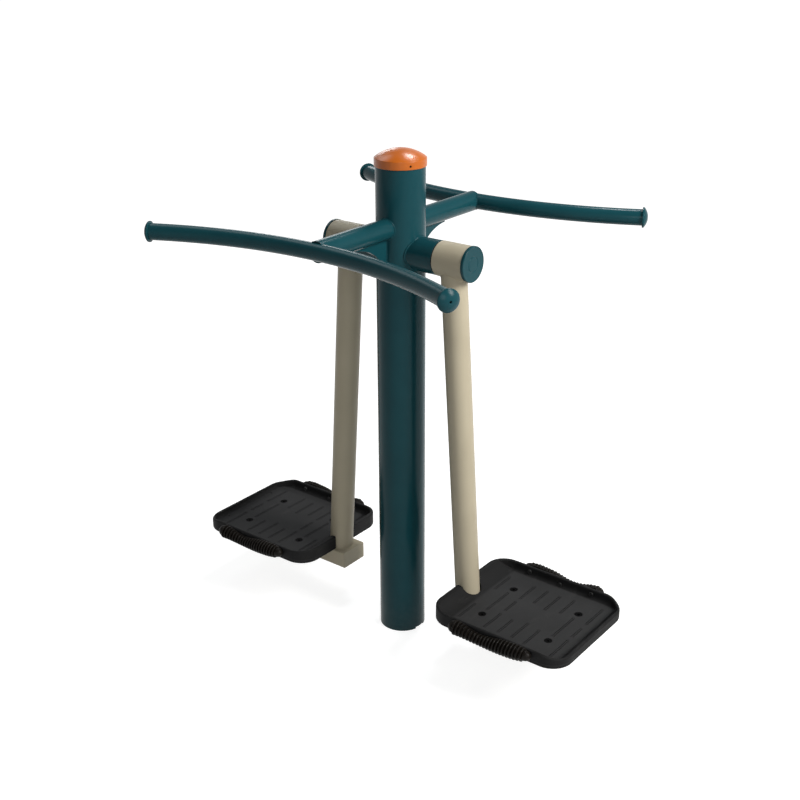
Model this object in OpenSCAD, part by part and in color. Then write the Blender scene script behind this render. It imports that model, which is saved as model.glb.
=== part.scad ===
/* [Post] */
// Outside diameter of the main post
post_d = 114; // [104:1:130]
// Wall of the main post
post_wall = 3; // [2:0.5:5]
// Height of the post's top edge above the ground
post_h = 1198; // [1150:1:1300]
// Width of the drain notch in the foot of the post
notch_w = 30; // [10:1:50]
// Height of the drain notch in the foot of the post
notch_h = 4; // [2:0.5:10]

/* [Foot sleeve] */
// Wall of the thick sleeve inside the foot of the post
sleeve_wall = 4; // [3:0.5:8]
// Length of the foot sleeve
sleeve_len = 150; // [120:1:300]
// Diameter of the two screws that clamp the post on its ground spigot
clamp_screw_d = 12; // [6:1:16]
// Height of the lower clamp screw above the ground
clamp_screw_z = 40; // [25:1:60]
// Distance between the two clamp screws
clamp_screw_pitch = 70; // [30:1:75]

/* [Post cap] */
// Wall of the cap that sits over the top of the post
cap_wall = 2.5; // [1:0.25:4]
// Height of the cap's straight skirt
cap_skirt_h = 18; // [12:0.5:40]
// Rise of the cap's dome above the skirt
cap_dome_rise = 20.5; // [8:0.5:40]
// Depth of the ledge inside the cap that rests on the post's edge
cap_ledge_h = 2.5; // [1:0.5:6]
// Diameter of the three screws in the cap's skirt
cap_screw_d = 5; // [3:0.5:6]
// Height of the cap screws above the skirt's lower edge
cap_screw_lift = 8; // [5:0.5:12]

/* [Arms and gussets] */
// Height of the arms and handlebars above the ground
bar_z = 1048; // [1030:1:1120]
// Outside diameter of the arms
arm_d = 48; // [42:0.5:60]
// Wall of the arms
arm_wall = 3; // [2:0.5:5]
// Distance from the post's axis to the middle of each handlebar
bar_reach = 286; // [240:1:360]
// Thickness of the gusset plates under the arms
gusset_t = 8; // [4:0.5:12]
// Distance from the post's axis to the tip of a gusset
gusset_len = 165; // [130:1:168]
// Radius of the hollow edge of a gusset
gusset_arc_r = 123.5; // [115:0.5:140]
// Height of the gusset's tip under the arm
gusset_tip_h = 3.5; // [2:0.5:10]

/* [Handlebars] */
// Outside diameter of the handlebars
bar_d = 38; // [32:0.5:41]
// Wall of the handlebars
bar_wall = 2.5; // [1.5:0.5:4]
// Radius of the handlebars' bow
bar_bow_r = 907; // [700:1:1200]
// Straight distance between the two ends of a handlebar
bar_span = 814; // [600:1:900]
// Diameter of the end caps' flange
end_cap_d = 47.5; // [44:0.5:60]
// Thickness of the end caps' flange
end_cap_flange_t = 4; // [2:0.5:8]
// Rise of the end caps' domed face
end_cap_rise = 9; // [3:0.5:12]
// Length of the end caps' plug inside the tube
end_cap_plug_len = 22; // [12:1:40]
// Wall of the end caps' plug
end_cap_plug_wall = 3; // [2:0.5:5]
// Diameter of the screw in the middle of each end cap
end_screw_d = 5; // [3:0.5:6]
// Length of the screw in each end cap
end_screw_len = 20; // [12:1:30]

/* [Hub] */
// Height of the swing axis above the ground
hub_z = 989; // [940:1:1000]
// Outside diameter of the fixed stub on each side of the post
stub_d = 79; // [76:0.5:90]
// Wall of the fixed stub
stub_wall = 5; // [3:0.5:7]
// Distance from the post's axis to the stub's outer face
stub_end_x = 112.5; // [90:0.5:140]
// Thickness of the stub's end wall
stub_end_t = 9.5; // [6:0.5:15]
// Diameter of the stub's boss that carries the inner bearing ring
stub_boss_d = 37; // [34:0.5:40]
// Width of the seam between the fixed stub and the turning housing
seam_w = 2.5; // [1.5:0.1:5]
// Diameter of the pivot axle at the bearings
axle_d = 30; // [26:0.5:31]
// Diameter of the threaded ends of the axle
axle_thread_d = 24; // [18:1:25]
// Length of thread that shows past the nuts
thread_show = 2; // [1:0.5:5]

/* [Bearing housing] */
// Outside diameter of the bearing housing
housing_d = 80; // [76:0.5:95]
// Thickness of the shoulder at the housing's inner end
shoulder_t = 6.3; // [5:0.1:10]
// Bore of the shoulder
shoulder_bore_d = 47; // [44:0.5:50]
// Length of the housing past the outer bearing
housing_tail = 20.7; // [14:0.1:30]
// Outside diameter of the bearings
bearing_od = 62; // [60:0.5:66]
// Width of the bearings
bearing_w = 16; // [14:0.5:20]
// Distance between the two bearings
bearing_gap = 20; // [10:0.5:40]
// Thickness of the inner and outer bearing rings
ring_t = 5.2; // [4:0.1:5.6]
// Diameter of the bearing balls
ball_d = 9.5; // [8:0.1:10]
// Number of balls in each bearing
ball_n = 9; // [7:1:10]
// Thickness of the retaining ring
circlip_t = 2; // [1.5:0.1:3]
// Radial width of the retaining ring
circlip_w = 4.5; // [3:0.1:6]
// Depth of the retaining ring's groove in the housing
circlip_groove = 1.5; // [1:0.1:2.5]
// Gap between the two ends of the retaining ring
circlip_gap = 14; // [6:0.5:20]

/* [Axle nut and stop] */
// Diameter of the washer under the axle nut
washer_d = 40; // [37:0.5:44]
// Thickness of the washer under the axle nut
washer_t = 3; // [2:0.1:5]
// Width of the axle nut across its flats
axle_nut_af = 36; // [30:0.5:40]
// Height of the axle nut
axle_nut_h = 11; // [8:0.5:14]
// Diameter of the stop pin
stop_pin_d = 6; // [4:0.5:7]
// Distance from the swing axis to the stop pin
stop_pin_r = 30.5; // [29:0.1:31.5]
// Depth of the arc slot that the stop pin runs in
stop_slot_depth = 4.5; // [3:0.1:5]
// Swing to each side at which the stop pin meets the end of its slot
swing_limit = 30; // [20:1:45]

/* [Hub cap] */
// Diameter of the hub cap
hub_cap_d = 82; // [78:0.5:100]
// Thickness of the hub cap's disc
hub_cap_t = 7.5; // [7:0.5:20]
// Thickness of the hub cap's face
hub_cap_face_t = 4; // [2:0.5:6]
// Chamfer on the rim of the hub cap
hub_cap_edge = 2; // [0.5:0.5:3]
// Length of the hub cap's spigot in the housing
spigot_len = 8; // [4:0.5:10]
// Wall of the hub cap's spigot
spigot_wall = 3; // [2:0.5:5]

/* [Pendulum tube and beam] */
// Outside diameter of the pendulum tube
tube_d = 60; // [50:0.5:68]
// Wall of the pendulum tube
tube_wall = 3; // [2:0.5:5]
// Distance from the post's axis to the tube's foot on the beam
tube_foot_x = 203; // [196:0.5:220]
// Distance of the tube's top inwards from the middle of the housing
tube_top_inset = 6.8; // [0:0.1:12]
// Width of the foot beam
beam_w = 80; // [66:1:100]
// Height of the foot beam
beam_h = 44; // [30:1:60]
// Wall of the foot beam
beam_wall = 4; // [2:0.5:6]
// Height of the beam's top face above the ground
beam_top_z = 155; // [130:1:200]
// Distance from the post's axis to the beam's inner end
beam_in_x = 161; // [140:0.5:165]
// Length of the foot beam with its end plates
beam_len = 359; // [350:1:380]
// Thickness of the beam's end plates
beam_plate_t = 3; // [2:0.5:6]
// Rounding of the box beam's edges
beam_edge_r = 3; // [1:0.5:6]

/* [Cross brackets] */
// Width of each leg of the angle brackets
bracket_leg = 40; // [32:1:50]
// Thickness of the angle brackets
bracket_t = 5; // [3:0.5:8]
// Distance from the beam's side to the end of a bracket
bracket_len = 52; // [45:1:60]

/* [Footplate] */
// Length of the footplate, outwards from the post
plate_len = 362; // [340:1:400]
// Width of the footplate
plate_w = 313; // [290:1:340]
// Corner radius of the footplate
plate_corner_r = 53; // [40:1:80]
// Distance from the post's axis to the footplate's inner edge
plate_in_x = 194.5; // [185:0.5:200]
// Thickness of the footplate's floor
floor_t = 9.5; // [8:0.5:14]
// Height of the inner end's rim above the floor
rim_in_h = 28; // [26:0.5:40]
// Height of the side rims above the floor
rim_side_h = 24.5; // [22:0.5:40]
// Height of the outer end's rim above the floor
rim_out_h = 15; // [10:0.5:22]
// Width of the footplate's rim
rim_w = 8; // [5:0.5:12]
// Radius of the ramp between the floor and the inner rim
ramp_r = 50; // [40:1:70]
// Radius between the floor and the other rims
floor_fillet_r = 10; // [6:0.5:14]
// Gap between the pendulum tube and the footplate's notch
tube_notch_gap = 3; // [2:0.5:6]
// Width of the shallow grooves in the floor
groove_w = 4.5; // [2:0.5:8]
// Depth of the shallow grooves in the floor
groove_depth = 1.2; // [0.5:0.1:2]
// Diameter of the two drain holes in the floor
drain_d = 5; // [3:0.5:8]
// Depth of the pockets under the floor
pocket_depth = 4.5; // [2:0.5:4.5]
// Width of the ribs between the pockets
rib_w = 5; // [3:0.5:10]

/* [Footplate bolts] */
// Distance between the footplate bolts, outwards from the post
bolt_pitch_x = 182; // [150:1:190]
// Distance between the footplate bolts, across the beam
bolt_pitch_y = 137; // [130:1:145]
// Distance of the bolt pattern outwards from the footplate's middle
bolt_shift = 7.5; // [0:0.5:12]
// Diameter of the footplate bolts
bolt_d = 10; // [8:1:12]
// Diameter of the footplate bolts' heads
bolt_head_d = 18; // [15:0.5:19]
// Height of the footplate bolts' heads
bolt_head_h = 5; // [3:0.5:5.5]
// Width of the hexagon sockets in the footplate bolts
bolt_socket_af = 6; // [4:0.5:8]
// Diameter of the counterbores for the bolt heads
counterbore_d = 20; // [19.5:0.5:24]
// Depth of the counterbores
counterbore_depth = 6; // [5.5:0.5:7]
// Width of the footplate nuts across their flats
nut_af = 15; // [13:0.5:17]
// Height of the footplate nuts with their flange
nut_h = 10; // [8:0.5:13]
// Diameter of the nuts' flange
nut_flange_d = 20; // [18:0.5:24]
// Thickness of the nuts' flange
nut_flange_t = 2; // [1:0.5:3]

/* [Ribbed guards] */
// Length of each ribbed guard
guard_len = 222; // [212:1:240]
// Diameter of the guard over its ribs
guard_rib_d = 31; // [28:0.5:36]
// Diameter of the guard between its ribs
guard_core_d = 24; // [20:0.5:26]
// Diameter of the guard's smooth ends
guard_end_d = 28; // [24:0.5:30]
// Number of ribs on each guard
guard_rib_n = 21; // [11:2:21]
// Distance from one rib to the next
guard_rib_pitch = 9.1; // [8:0.1:9.2]
// Thickness of each rib
guard_rib_t = 4.6; // [2:0.1:6]
// Distance of the guard's axis out from the footplate's side
guard_axis_out = 9.5; // [8:0.1:11]
// Height of the middle of the guard's axis above the floor
guard_mid_h = 6.5; // [6:0.1:10]
// Sag of the guard's axis between its ends
guard_sag = 6; // [2:0.5:10]
// Distance from the middle guard bolt to each outer one
guard_bolt_pitch = 87; // [70:1:92]
// Diameter of the guard bolts
guard_bolt_d = 6; // [4:0.5:7]
// Diameter of the guard bolts' heads
guard_head_d = 11; // [9:0.5:12]
// Height of the guard bolts' heads
guard_head_h = 4; // [2:0.5:5]
// Diameter of the threaded inserts in the guards
insert_d = 10; // [9:0.5:12]
// Length of the threaded inserts
insert_len = 13; // [10:0.5:15]

/* [Hidden] */
$fn = 96;
// Running gap between parts that turn against each other
run_gap = 0.3;
// Slip fit between parts that are pushed or screwed together
slip = 0.05;
// Overrun of every cut past the face that it opens
cut = 5;
// The same overrun for a turned cut, in degrees
cut_turn = 1;
// Width of a hexagon socket, as a share of its screw's diameter
socket_share = 0.5;
// How far a screw or a socket is let in, as a share of what it sits in
recess_share = 0.33;

// Post and its foot
post_r = post_d / 2;
post_in_r = post_r - post_wall;
sleeve_bore_r = post_in_r - sleeve_wall;
clamp_heights = [clamp_screw_z, clamp_screw_z + clamp_screw_pitch];

// Cap on the post
cap_in_r = post_r + slip;
cap_out_r = cap_in_r + cap_wall;
crease_z = post_h + cap_ledge_h;
skirt_z = crease_z - cap_skirt_h;
ledge_r = post_in_r;
dome_r = (pow(cap_out_r, 2) + pow(cap_dome_rise, 2)) / (2 * cap_dome_rise);
dome_z = crease_z + cap_dome_rise - dome_r;
cap_screw_angles = [-30, 90, 210];
cap_screw_recess = cap_wall * recess_share;

// Arms, gussets and handlebars
arm_r = arm_d / 2;
bar_r = bar_d / 2;
bow_y = bar_reach + bar_bow_r;
bow_half = asin(bar_span / 2 / bar_bow_r);
gusset_arc_z = bar_z - arm_r - gusset_tip_h - gusset_arc_r;
gusset_arc_y = gusset_len + cut;
end_cap_r = end_cap_d / 2;
end_dome_r = (pow(end_cap_r, 2) + pow(end_cap_rise, 2)) / (2 * end_cap_rise);
// The plug is straight and the tube is bowed, so the plug keeps the running gap
end_plug_r = bar_r - bar_wall - run_gap;
end_screw_recess = end_cap_rise * recess_share;

// Hub stack, from the post outwards
housing_x = stub_end_x + seam_w;
bearing_1_x = housing_x + shoulder_t;
bearing_2_x = bearing_1_x + bearing_w + bearing_gap;
circlip_x = bearing_2_x + bearing_w;
housing_len = shoulder_t + 2 * bearing_w + bearing_gap + housing_tail;
housing_end_x = housing_x + housing_len;
housing_r = housing_d / 2;
axle_nut_x = circlip_x + washer_t;
axle_end_x = axle_nut_x + axle_nut_h + thread_show;
hub_cap_in_x = housing_end_x + hub_cap_t - hub_cap_face_t;
bearing_x = [bearing_1_x, bearing_2_x];
ball_r = ball_d / 2;
ball_track_r = (axle_d + bearing_od) / 4;
race_gap = run_gap / 2;
shield_share = 0.05;
shield_inset_share = 0.025;
shield_t = bearing_w * shield_share;
shield_in = bearing_w * shield_inset_share;
spacer_r = stub_boss_d / 2;
seal_share = 0.9;
seal_wall = stub_wall * seal_share;
seal_inset = run_gap;
// Floor that the stop pin's blind hole leaves in the stub's end wall
stop_pin_floor = 1;
stop_pin_x = stub_end_x - stub_end_t + stop_pin_floor;
stop_pin_len = stub_end_t + seam_w + stop_slot_depth - stop_pin_floor;

// Pendulum tube and beam
tube_r = tube_d / 2;
tube_top_x = housing_x + housing_len / 2 - tube_top_inset;
tube_tilt = atan((tube_foot_x - tube_top_x) / (hub_z - beam_top_z));
beam_z = beam_top_z - beam_h;
beam_out_x = beam_in_x + beam_len;

// Footplate
plate_x = plate_in_x + plate_len / 2;
floor_z = beam_top_z + floor_t;
bolt_x = plate_x + bolt_shift;
bolt_dx = bolt_pitch_x / 2;
bolt_dy = bolt_pitch_y / 2;
head_z = floor_z - counterbore_depth;
bolt_len = head_z - beam_top_z + bracket_t + nut_h + thread_show;
groove_pitch_share = 0.101;
groove_first_share = 0.336;
groove_pitch = plate_len * groove_pitch_share;
groove_x0 = plate_x - plate_len * groove_first_share;
groove_half = plate_w / 2;
// Start and end of the grooves in each row, as shares of half the plate's width
groove_shares = [
    [[0.27, 0.71]],
    [[-0.3, 0.3]],
    [[0.26, 0.71], [-0.15, 0.15]],
    [[0.3, 0.7]],
    [[0.23, 0.69]],
    [[0.29, 0.73]],
    [[-0.3, 0.3]],
    [[0.26, 0.76], [-0.15, 0.13]],
];
drain_share = 0.54;
drain_x_share = 0.947;
drain_x = plate_in_x + plate_len * drain_x_share;
// Where the side rims start to fall, and where they reach the outer rim's height
rim_fall_share = 0.35;
rim_low_share = 0.47;
rim_rise_share = -0.37;
pocket_y0 = beam_w / 2 + bracket_len + rib_w;
pocket_y1 = plate_w / 2 - rim_w - rib_w;
pocket_n = 5;
pocket_in_share = 0.36;
pocket_out_share = 0.38;
pocket_x0 = plate_x - plate_len * pocket_in_share;
pocket_x1 = plate_x + plate_len * pocket_out_share;

// Guards
guard_y = plate_w / 2 + guard_axis_out;
guard_mid_z = floor_z + guard_mid_h;
guard_end_x = guard_len / 2 - guard_end_d / 2;
guard_bow_r = (pow(guard_end_x, 2) + pow(guard_sag, 2)) / (2 * guard_sag);
guard_bolt_x = [-guard_bolt_pitch, 0, guard_bolt_pitch];
guard_half = asin(guard_end_x / guard_bow_r);
guard_collar_share = 0.25;
spot_r = guard_head_d / 2 + run_gap;

// Colours as the photo shows them
teal = "#1f4b50";
orange = "#e8772a";
beige = "#b9ab90";
black = "#2a2a2b";
rib_black = "#2b2622";
steel = "#b9bcbe";
brass = "#b08d4a";

// Cylinder along X on the swing axis, starting at x
module on_hub(x, r, len) {
    translate([x, 0, hub_z]) rotate([0, 90, 0]) cylinder(r = r, h = len);
}

// Ring along X on the swing axis
module hub_ring(x, r_out, r_in, len) {
    difference() {
        on_hub(x, r_out, len);
        on_hub(x - cut, r_in, len + 2 * cut);
    }
}

// Profile turned about the swing axis: u is the radius and v runs outwards from x
module hub_turned(x) {
    translate([x, 0, hub_z]) rotate([0, 90, 0]) rotate_extrude() children();
}

module mirrored() {
    mirror([1, 0, 0]) children();
}

module behind() {
    mirror([0, 1, 0]) children();
}

module on_both_sides() {
    children();
    mirrored() children();
}

// Post and what closes it

module main_post() {
    color(teal) difference() {
        cylinder(r = post_r, h = post_h);
        translate([0, 0, -cut]) cylinder(r = post_in_r, h = post_h + 2 * cut);
        translate([-post_d, -notch_w / 2, -cut]) cube([2 * post_d, notch_w, notch_h + cut]);
        on_hub(-post_d, axle_d / 2 + slip, 2 * post_d);
        clamp_holes();
        cap_screw_holes(cap_screw_d / 2);
    }
}

// Two holes through the back of the post and its sleeve
module clamp_holes() {
    for (z = clamp_heights)
        translate([0, 0, z]) rotate([-90, 0, 0]) cylinder(d = clamp_screw_d + 2 * slip, h = post_d);
}

module foot_sleeve() {
    color(steel) difference() {
        cylinder(r = post_in_r, h = sleeve_len);
        translate([0, 0, -cut]) cylinder(r = sleeve_bore_r, h = sleeve_len + 2 * cut);
        translate([-post_d, -notch_w / 2, -cut]) cube([2 * post_d, notch_w, notch_h + cut]);
        clamp_holes();
    }
}

// Socket screws that end flush with the sleeve's bore, so the spigot can enter
module clamp_screws() {
    len = post_wall + sleeve_wall - 2 * run_gap;
    color(steel) for (z = clamp_heights)
        translate([0, sleeve_bore_r + run_gap, z]) rotate([-90, 0, 0]) difference() {
            cylinder(d = clamp_screw_d, h = len);
            translate([0, 0, len / 2]) cylinder(d = clamp_screw_d * socket_share, h = cut, $fn = 6);
        }
}

module post_cap() {
    color(orange) difference() {
        union() {
            translate([0, 0, skirt_z]) cylinder(r = cap_out_r, h = cap_skirt_h);
            intersection() {
                translate([0, 0, dome_z]) sphere(r = dome_r);
                translate([0, 0, crease_z - cap_ledge_h]) cylinder(r = cap_out_r, h = cap_dome_rise + cut);
            }
        }
        translate([0, 0, skirt_z - cut]) cylinder(r = cap_in_r, h = post_h - skirt_z + cut);
        intersection() {
            translate([0, 0, dome_z]) sphere(r = dome_r - cap_wall);
            translate([0, 0, post_h - cut]) cylinder(r = ledge_r, h = cap_dome_rise + 2 * cut);
        }
        cap_screw_holes(cap_screw_d / 2 + slip);
    }
}

module cap_screw_holes(r) {
    for (a = cap_screw_angles)
        translate([0, 0, skirt_z + cap_screw_lift]) rotate([0, 90, a]) cylinder(r = r, h = post_d);
}

module post_cap_screws() {
    len = post_wall + cap_wall - cap_screw_recess;
    color(steel) for (a = cap_screw_angles)
        rotate([0, 0, a]) translate([post_in_r, 0, skirt_z + cap_screw_lift]) rotate([0, 90, 0])
            difference() {
                cylinder(r = cap_screw_d / 2 - slip, h = len);
                translate([0, 0, len / 2]) cylinder(d = cap_screw_d * socket_share, h = cut, $fn = 6);
            }
}

// Arms, gussets and handlebars, drawn for the front

module bow(r) {
    translate([0, -bow_y, bar_z]) rotate([0, 0, 90 - bow_half])
        rotate_extrude(angle = 2 * bow_half) translate([bar_bow_r, 0]) circle(r = r);
}

module arm() {
    color(teal) difference() {
        translate([0, 0, bar_z]) rotate([90, 0, 0]) difference() {
            cylinder(r = arm_r, h = bar_reach);
            translate([0, 0, -cut]) cylinder(r = arm_r - arm_wall, h = bar_reach + 2 * cut);
        }
        cylinder(r = post_r, h = post_h);
        bow(bar_r);
    }
}

module gusset() {
    color(teal) difference() {
        translate([-gusset_t / 2, -gusset_len, gusset_arc_z])
            cube([gusset_t, gusset_len, bar_z - gusset_arc_z]);
        translate([-gusset_t, -gusset_arc_y, gusset_arc_z]) rotate([0, 90, 0])
            cylinder(r = gusset_arc_r, h = 2 * gusset_t);
        cylinder(r = post_r, h = post_h);
        translate([0, 0, bar_z]) rotate([90, 0, 0]) cylinder(r = arm_r, h = bar_reach);
    }
}

module handlebar() {
    color(teal) difference() {
        bow(bar_r);
        translate([0, -bow_y, bar_z]) rotate([0, 0, 90 - bow_half - cut_turn])
            rotate_extrude(angle = 2 * (bow_half + cut_turn)) translate([bar_bow_r, 0])
                circle(r = bar_r - bar_wall);
    }
}

// Places its children at the right end of the front handlebar, with +Z out of the tube
module at_bar_end() {
    translate([0, -bow_y, bar_z]) rotate([0, 0, 90 - bow_half])
        translate([bar_bow_r, 0, 0]) rotate([90, 0, 0]) children();
}

module end_cap() {
    difference() {
        union() {
            intersection() {
                translate([0, 0, end_cap_flange_t + end_cap_rise - end_dome_r]) sphere(r = end_dome_r);
                cylinder(r = end_cap_r, h = end_cap_flange_t + end_cap_rise + cut);
            }
            translate([0, 0, -end_cap_plug_len])
                cylinder(r = end_plug_r, h = end_cap_plug_len + end_cap_flange_t / 2);
        }
        translate([0, 0, -end_cap_plug_len - cut])
            cylinder(r = end_plug_r - end_cap_plug_wall, h = end_cap_plug_len + cut - end_cap_flange_t);
        cylinder(d = end_screw_d, h = 2 * end_cap_plug_len, center = true);
    }
}

module end_screw() {
    top = end_cap_flange_t + end_cap_rise - end_screw_recess;
    translate([0, 0, top - end_screw_len]) difference() {
        cylinder(d = end_screw_d - 2 * slip, h = end_screw_len);
        translate([0, 0, end_screw_len - end_screw_recess])
            cylinder(d = end_screw_d * socket_share, h = cut, $fn = 6);
    }
}

module end_caps() {
    color(teal) on_both_sides() at_bar_end() end_cap();
}

module end_cap_screws() {
    color(steel) on_both_sides() {
        at_bar_end() end_screw();
        behind() at_bar_end() end_screw();
    }
}

// Hub parts that stay with the post, drawn for the right side

module pivot_axle() {
    color(steel) union() {
        on_hub(-circlip_x + run_gap, axle_d / 2, 2 * (circlip_x - run_gap));
        on_hub(-axle_end_x, axle_thread_d / 2, 2 * axle_end_x);
    }
}

module axle_washer() {
    hub_ring(circlip_x, washer_d / 2, axle_thread_d / 2 + slip, washer_t);
}

module axle_nut() {
    difference() {
        translate([axle_nut_x, 0, hub_z]) rotate([0, 90, 0])
            cylinder(d = axle_nut_af / cos(30), h = axle_nut_h, $fn = 6);
        on_hub(axle_nut_x - cut, axle_thread_d / 2 + slip, axle_nut_h + 2 * cut);
    }
}

module axle_washers() {
    color(steel) on_both_sides() axle_washer();
}

module axle_nuts() {
    color(steel) on_both_sides() axle_nut();
}

module hub_stub() {
    color(teal) difference() {
        union() {
            on_hub(0, stub_d / 2, stub_end_x);
            on_hub(stub_end_x - cut, stub_boss_d / 2, bearing_1_x - stub_end_x + cut);
        }
        on_hub(0, stub_d / 2 - stub_wall, stub_end_x - stub_end_t);
        on_hub(0, axle_d / 2 + slip, bearing_1_x + cut);
        cylinder(r = post_r, h = post_h);
        stop_pin_bore();
    }
}

module stop_pin_bore() {
    translate([stop_pin_x, 0, hub_z + stop_pin_r]) rotate([0, 90, 0])
        cylinder(r = stop_pin_d / 2 + slip, h = 2 * stub_end_t);
}

module stop_pin() {
    color(steel) translate([stop_pin_x, 0, hub_z + stop_pin_r]) rotate([0, 90, 0])
        cylinder(d = stop_pin_d, h = stop_pin_len - run_gap);
}

module seal_ring() {
    color(black) hub_ring(stub_end_x, stub_d / 2 - seal_inset, stub_d / 2 - seal_wall, seam_w - run_gap);
}

// Round groove that the balls run in
module ball_track() {
    translate([ball_track_r, bearing_w / 2]) circle(r = ball_r + race_gap);
}

module inner_rings() {
    color(steel) for (x = bearing_x) hub_turned(x) difference() {
        translate([axle_d / 2 + slip, 0]) square([ring_t - slip, bearing_w]);
        ball_track();
    }
}

module bearing_balls() {
    color(steel) for (x = bearing_x) for (i = [0 : ball_n - 1])
        translate([x + bearing_w / 2, 0, hub_z]) rotate([i * 360 / ball_n, 0, 0])
            translate([0, 0, ball_track_r]) sphere(r = ball_r);
}

module spacer_sleeve() {
    color(steel) hub_ring(bearing_1_x + bearing_w, spacer_r, axle_d / 2 + slip, bearing_gap);
}

// Pendulum parts, drawn for the right side

module bearing_housing() {
    color(beige) difference() {
        on_hub(housing_x, housing_r, housing_len);
        on_hub(housing_x - cut, shoulder_bore_d / 2, housing_len);
        on_hub(bearing_1_x, bearing_od / 2 + slip, housing_len);
        on_hub(circlip_x, bearing_od / 2 + circlip_groove, circlip_t + slip);
        stop_slot();
    }
}

// Arc slot in the housing's inner face, with the stop pin's own radius and a running gap
module stop_slot() {
    r = stop_pin_d / 2 + run_gap;
    depth = stop_slot_depth + cut;
    translate([housing_x - cut, 0, hub_z]) rotate([0, 90, 0]) rotate([0, 0, 180]) union() {
        rotate([0, 0, -swing_limit]) rotate_extrude(angle = 2 * swing_limit)
            translate([stop_pin_r - r, 0]) square([2 * r, depth]);
        for (a = [-swing_limit, swing_limit])
            rotate([0, 0, a]) translate([stop_pin_r, 0, 0]) cylinder(r = r, h = depth);
    }
}

module outer_rings() {
    out_r = bearing_od / 2;
    color(steel) for (x = bearing_x) hub_turned(x) difference() {
        union() {
            translate([out_r - ring_t, 0]) square([ring_t, bearing_w]);
            for (v = [shield_in, bearing_w - shield_in - shield_t])
                translate([axle_d / 2 + ring_t + run_gap, v])
                    square([out_r - axle_d / 2 - ring_t - run_gap - ring_t / 2, shield_t]);
        }
        ball_track();
    }
}

module retaining_ring() {
    out_r = bearing_od / 2 + circlip_groove - slip;
    color(steel) difference() {
        hub_ring(circlip_x, out_r, out_r - circlip_w, circlip_t);
        translate([circlip_x - cut, -circlip_gap / 2, hub_z - 2 * out_r])
            cube([circlip_t + 2 * cut, circlip_gap, 2 * out_r]);
    }
}

module hub_cap() {
    r = hub_cap_d / 2;
    spigot_r = bearing_od / 2;
    spigot_x = housing_end_x - spigot_len;
    color(teal) difference() {
        union() {
            hub_turned(housing_end_x) polygon([
                [0, 0], [r, 0], [r, hub_cap_t - hub_cap_edge], [r - hub_cap_edge, hub_cap_t], [0, hub_cap_t]
            ]);
            on_hub(spigot_x, spigot_r, spigot_len + hub_cap_face_t);
        }
        on_hub(spigot_x - cut, spigot_r - spigot_wall, hub_cap_in_x - spigot_x + cut);
    }
}

module pendulum_tube() {
    len = (hub_z - beam_top_z) / cos(tube_tilt);
    color(beige) difference() {
        translate([tube_top_x, 0, hub_z]) rotate([0, 180 - tube_tilt, 0]) difference() {
            cylinder(r = tube_r, h = len + tube_r);
            translate([0, 0, -cut]) cylinder(r = tube_r - tube_wall, h = len + tube_d);
        }
        on_hub(0, housing_r, 2 * housing_end_x);
        translate([0, -beam_w / 2, beam_z]) cube([beam_out_x, beam_w, beam_h]);
    }
}

module beam_section(inset) {
    w = beam_w - 2 * inset;
    h = beam_h - 2 * inset;
    r = max(beam_edge_r - inset, slip);
    round_rect(w, h, r);
}

// Rectangle with rounded corners, about the origin
module round_rect(w, h, r) {
    square([w - 2 * r, h], center = true);
    square([w, h - 2 * r], center = true);
    for (x = [r - w / 2, w / 2 - r]) for (y = [r - h / 2, h / 2 - r]) translate([x, y]) circle(r = r);
}

module foot_beam() {
    len = beam_len - 2 * beam_plate_t;
    color(beige) translate([beam_in_x + beam_plate_t, 0, beam_z + beam_h / 2]) rotate([90, 0, 90])
        linear_extrude(len) difference() {
            beam_section(0);
            beam_section(beam_wall);
        }
}

module beam_end_plates() {
    color(beige) for (x = [beam_in_x, beam_out_x - beam_plate_t])
        translate([x, 0, beam_z + beam_h / 2]) rotate([90, 0, 90])
            linear_extrude(beam_plate_t) beam_section(0);
}

// Places its children at the four footplate bolts
module at_bolts() {
    for (x = [-bolt_dx, bolt_dx]) for (y = [-bolt_dy, bolt_dy]) translate([bolt_x + x, y, 0]) children();
}

module cross_brackets() {
    color(beige) difference() {
        for (x = [-bolt_dx, bolt_dx]) for (side = [0, 1]) mirror([0, side, 0])
            translate([bolt_x + x - bracket_leg / 2, beam_w / 2, beam_top_z - bracket_leg]) {
                translate([0, 0, bracket_leg - bracket_t]) cube([bracket_leg, bracket_len, bracket_t]);
                cube([bracket_t, bracket_len, bracket_leg]);
            }
        at_bolts() cylinder(d = bolt_d + 2 * run_gap, h = beam_top_z + cut);
    }
}

// Footplate

module plate_side_profile() {
    half = plate_len / 2 + cut;
    polygon([
        [-half, beam_top_z], [half, beam_top_z], [half, floor_z + rim_out_h],
        [plate_len * rim_low_share, floor_z + rim_out_h],
        [plate_len * rim_fall_share, floor_z + rim_side_h],
        [plate_len * rim_rise_share, floor_z + rim_side_h], [-half, floor_z + rim_in_h]
    ]);
}

// What a round corner of radius r leaves over in the corner of a square
module corner_waste(r) {
    difference() {
        translate([-cut, -cut]) square(r + cut);
        translate([r, r]) circle(r = r);
    }
}

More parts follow.
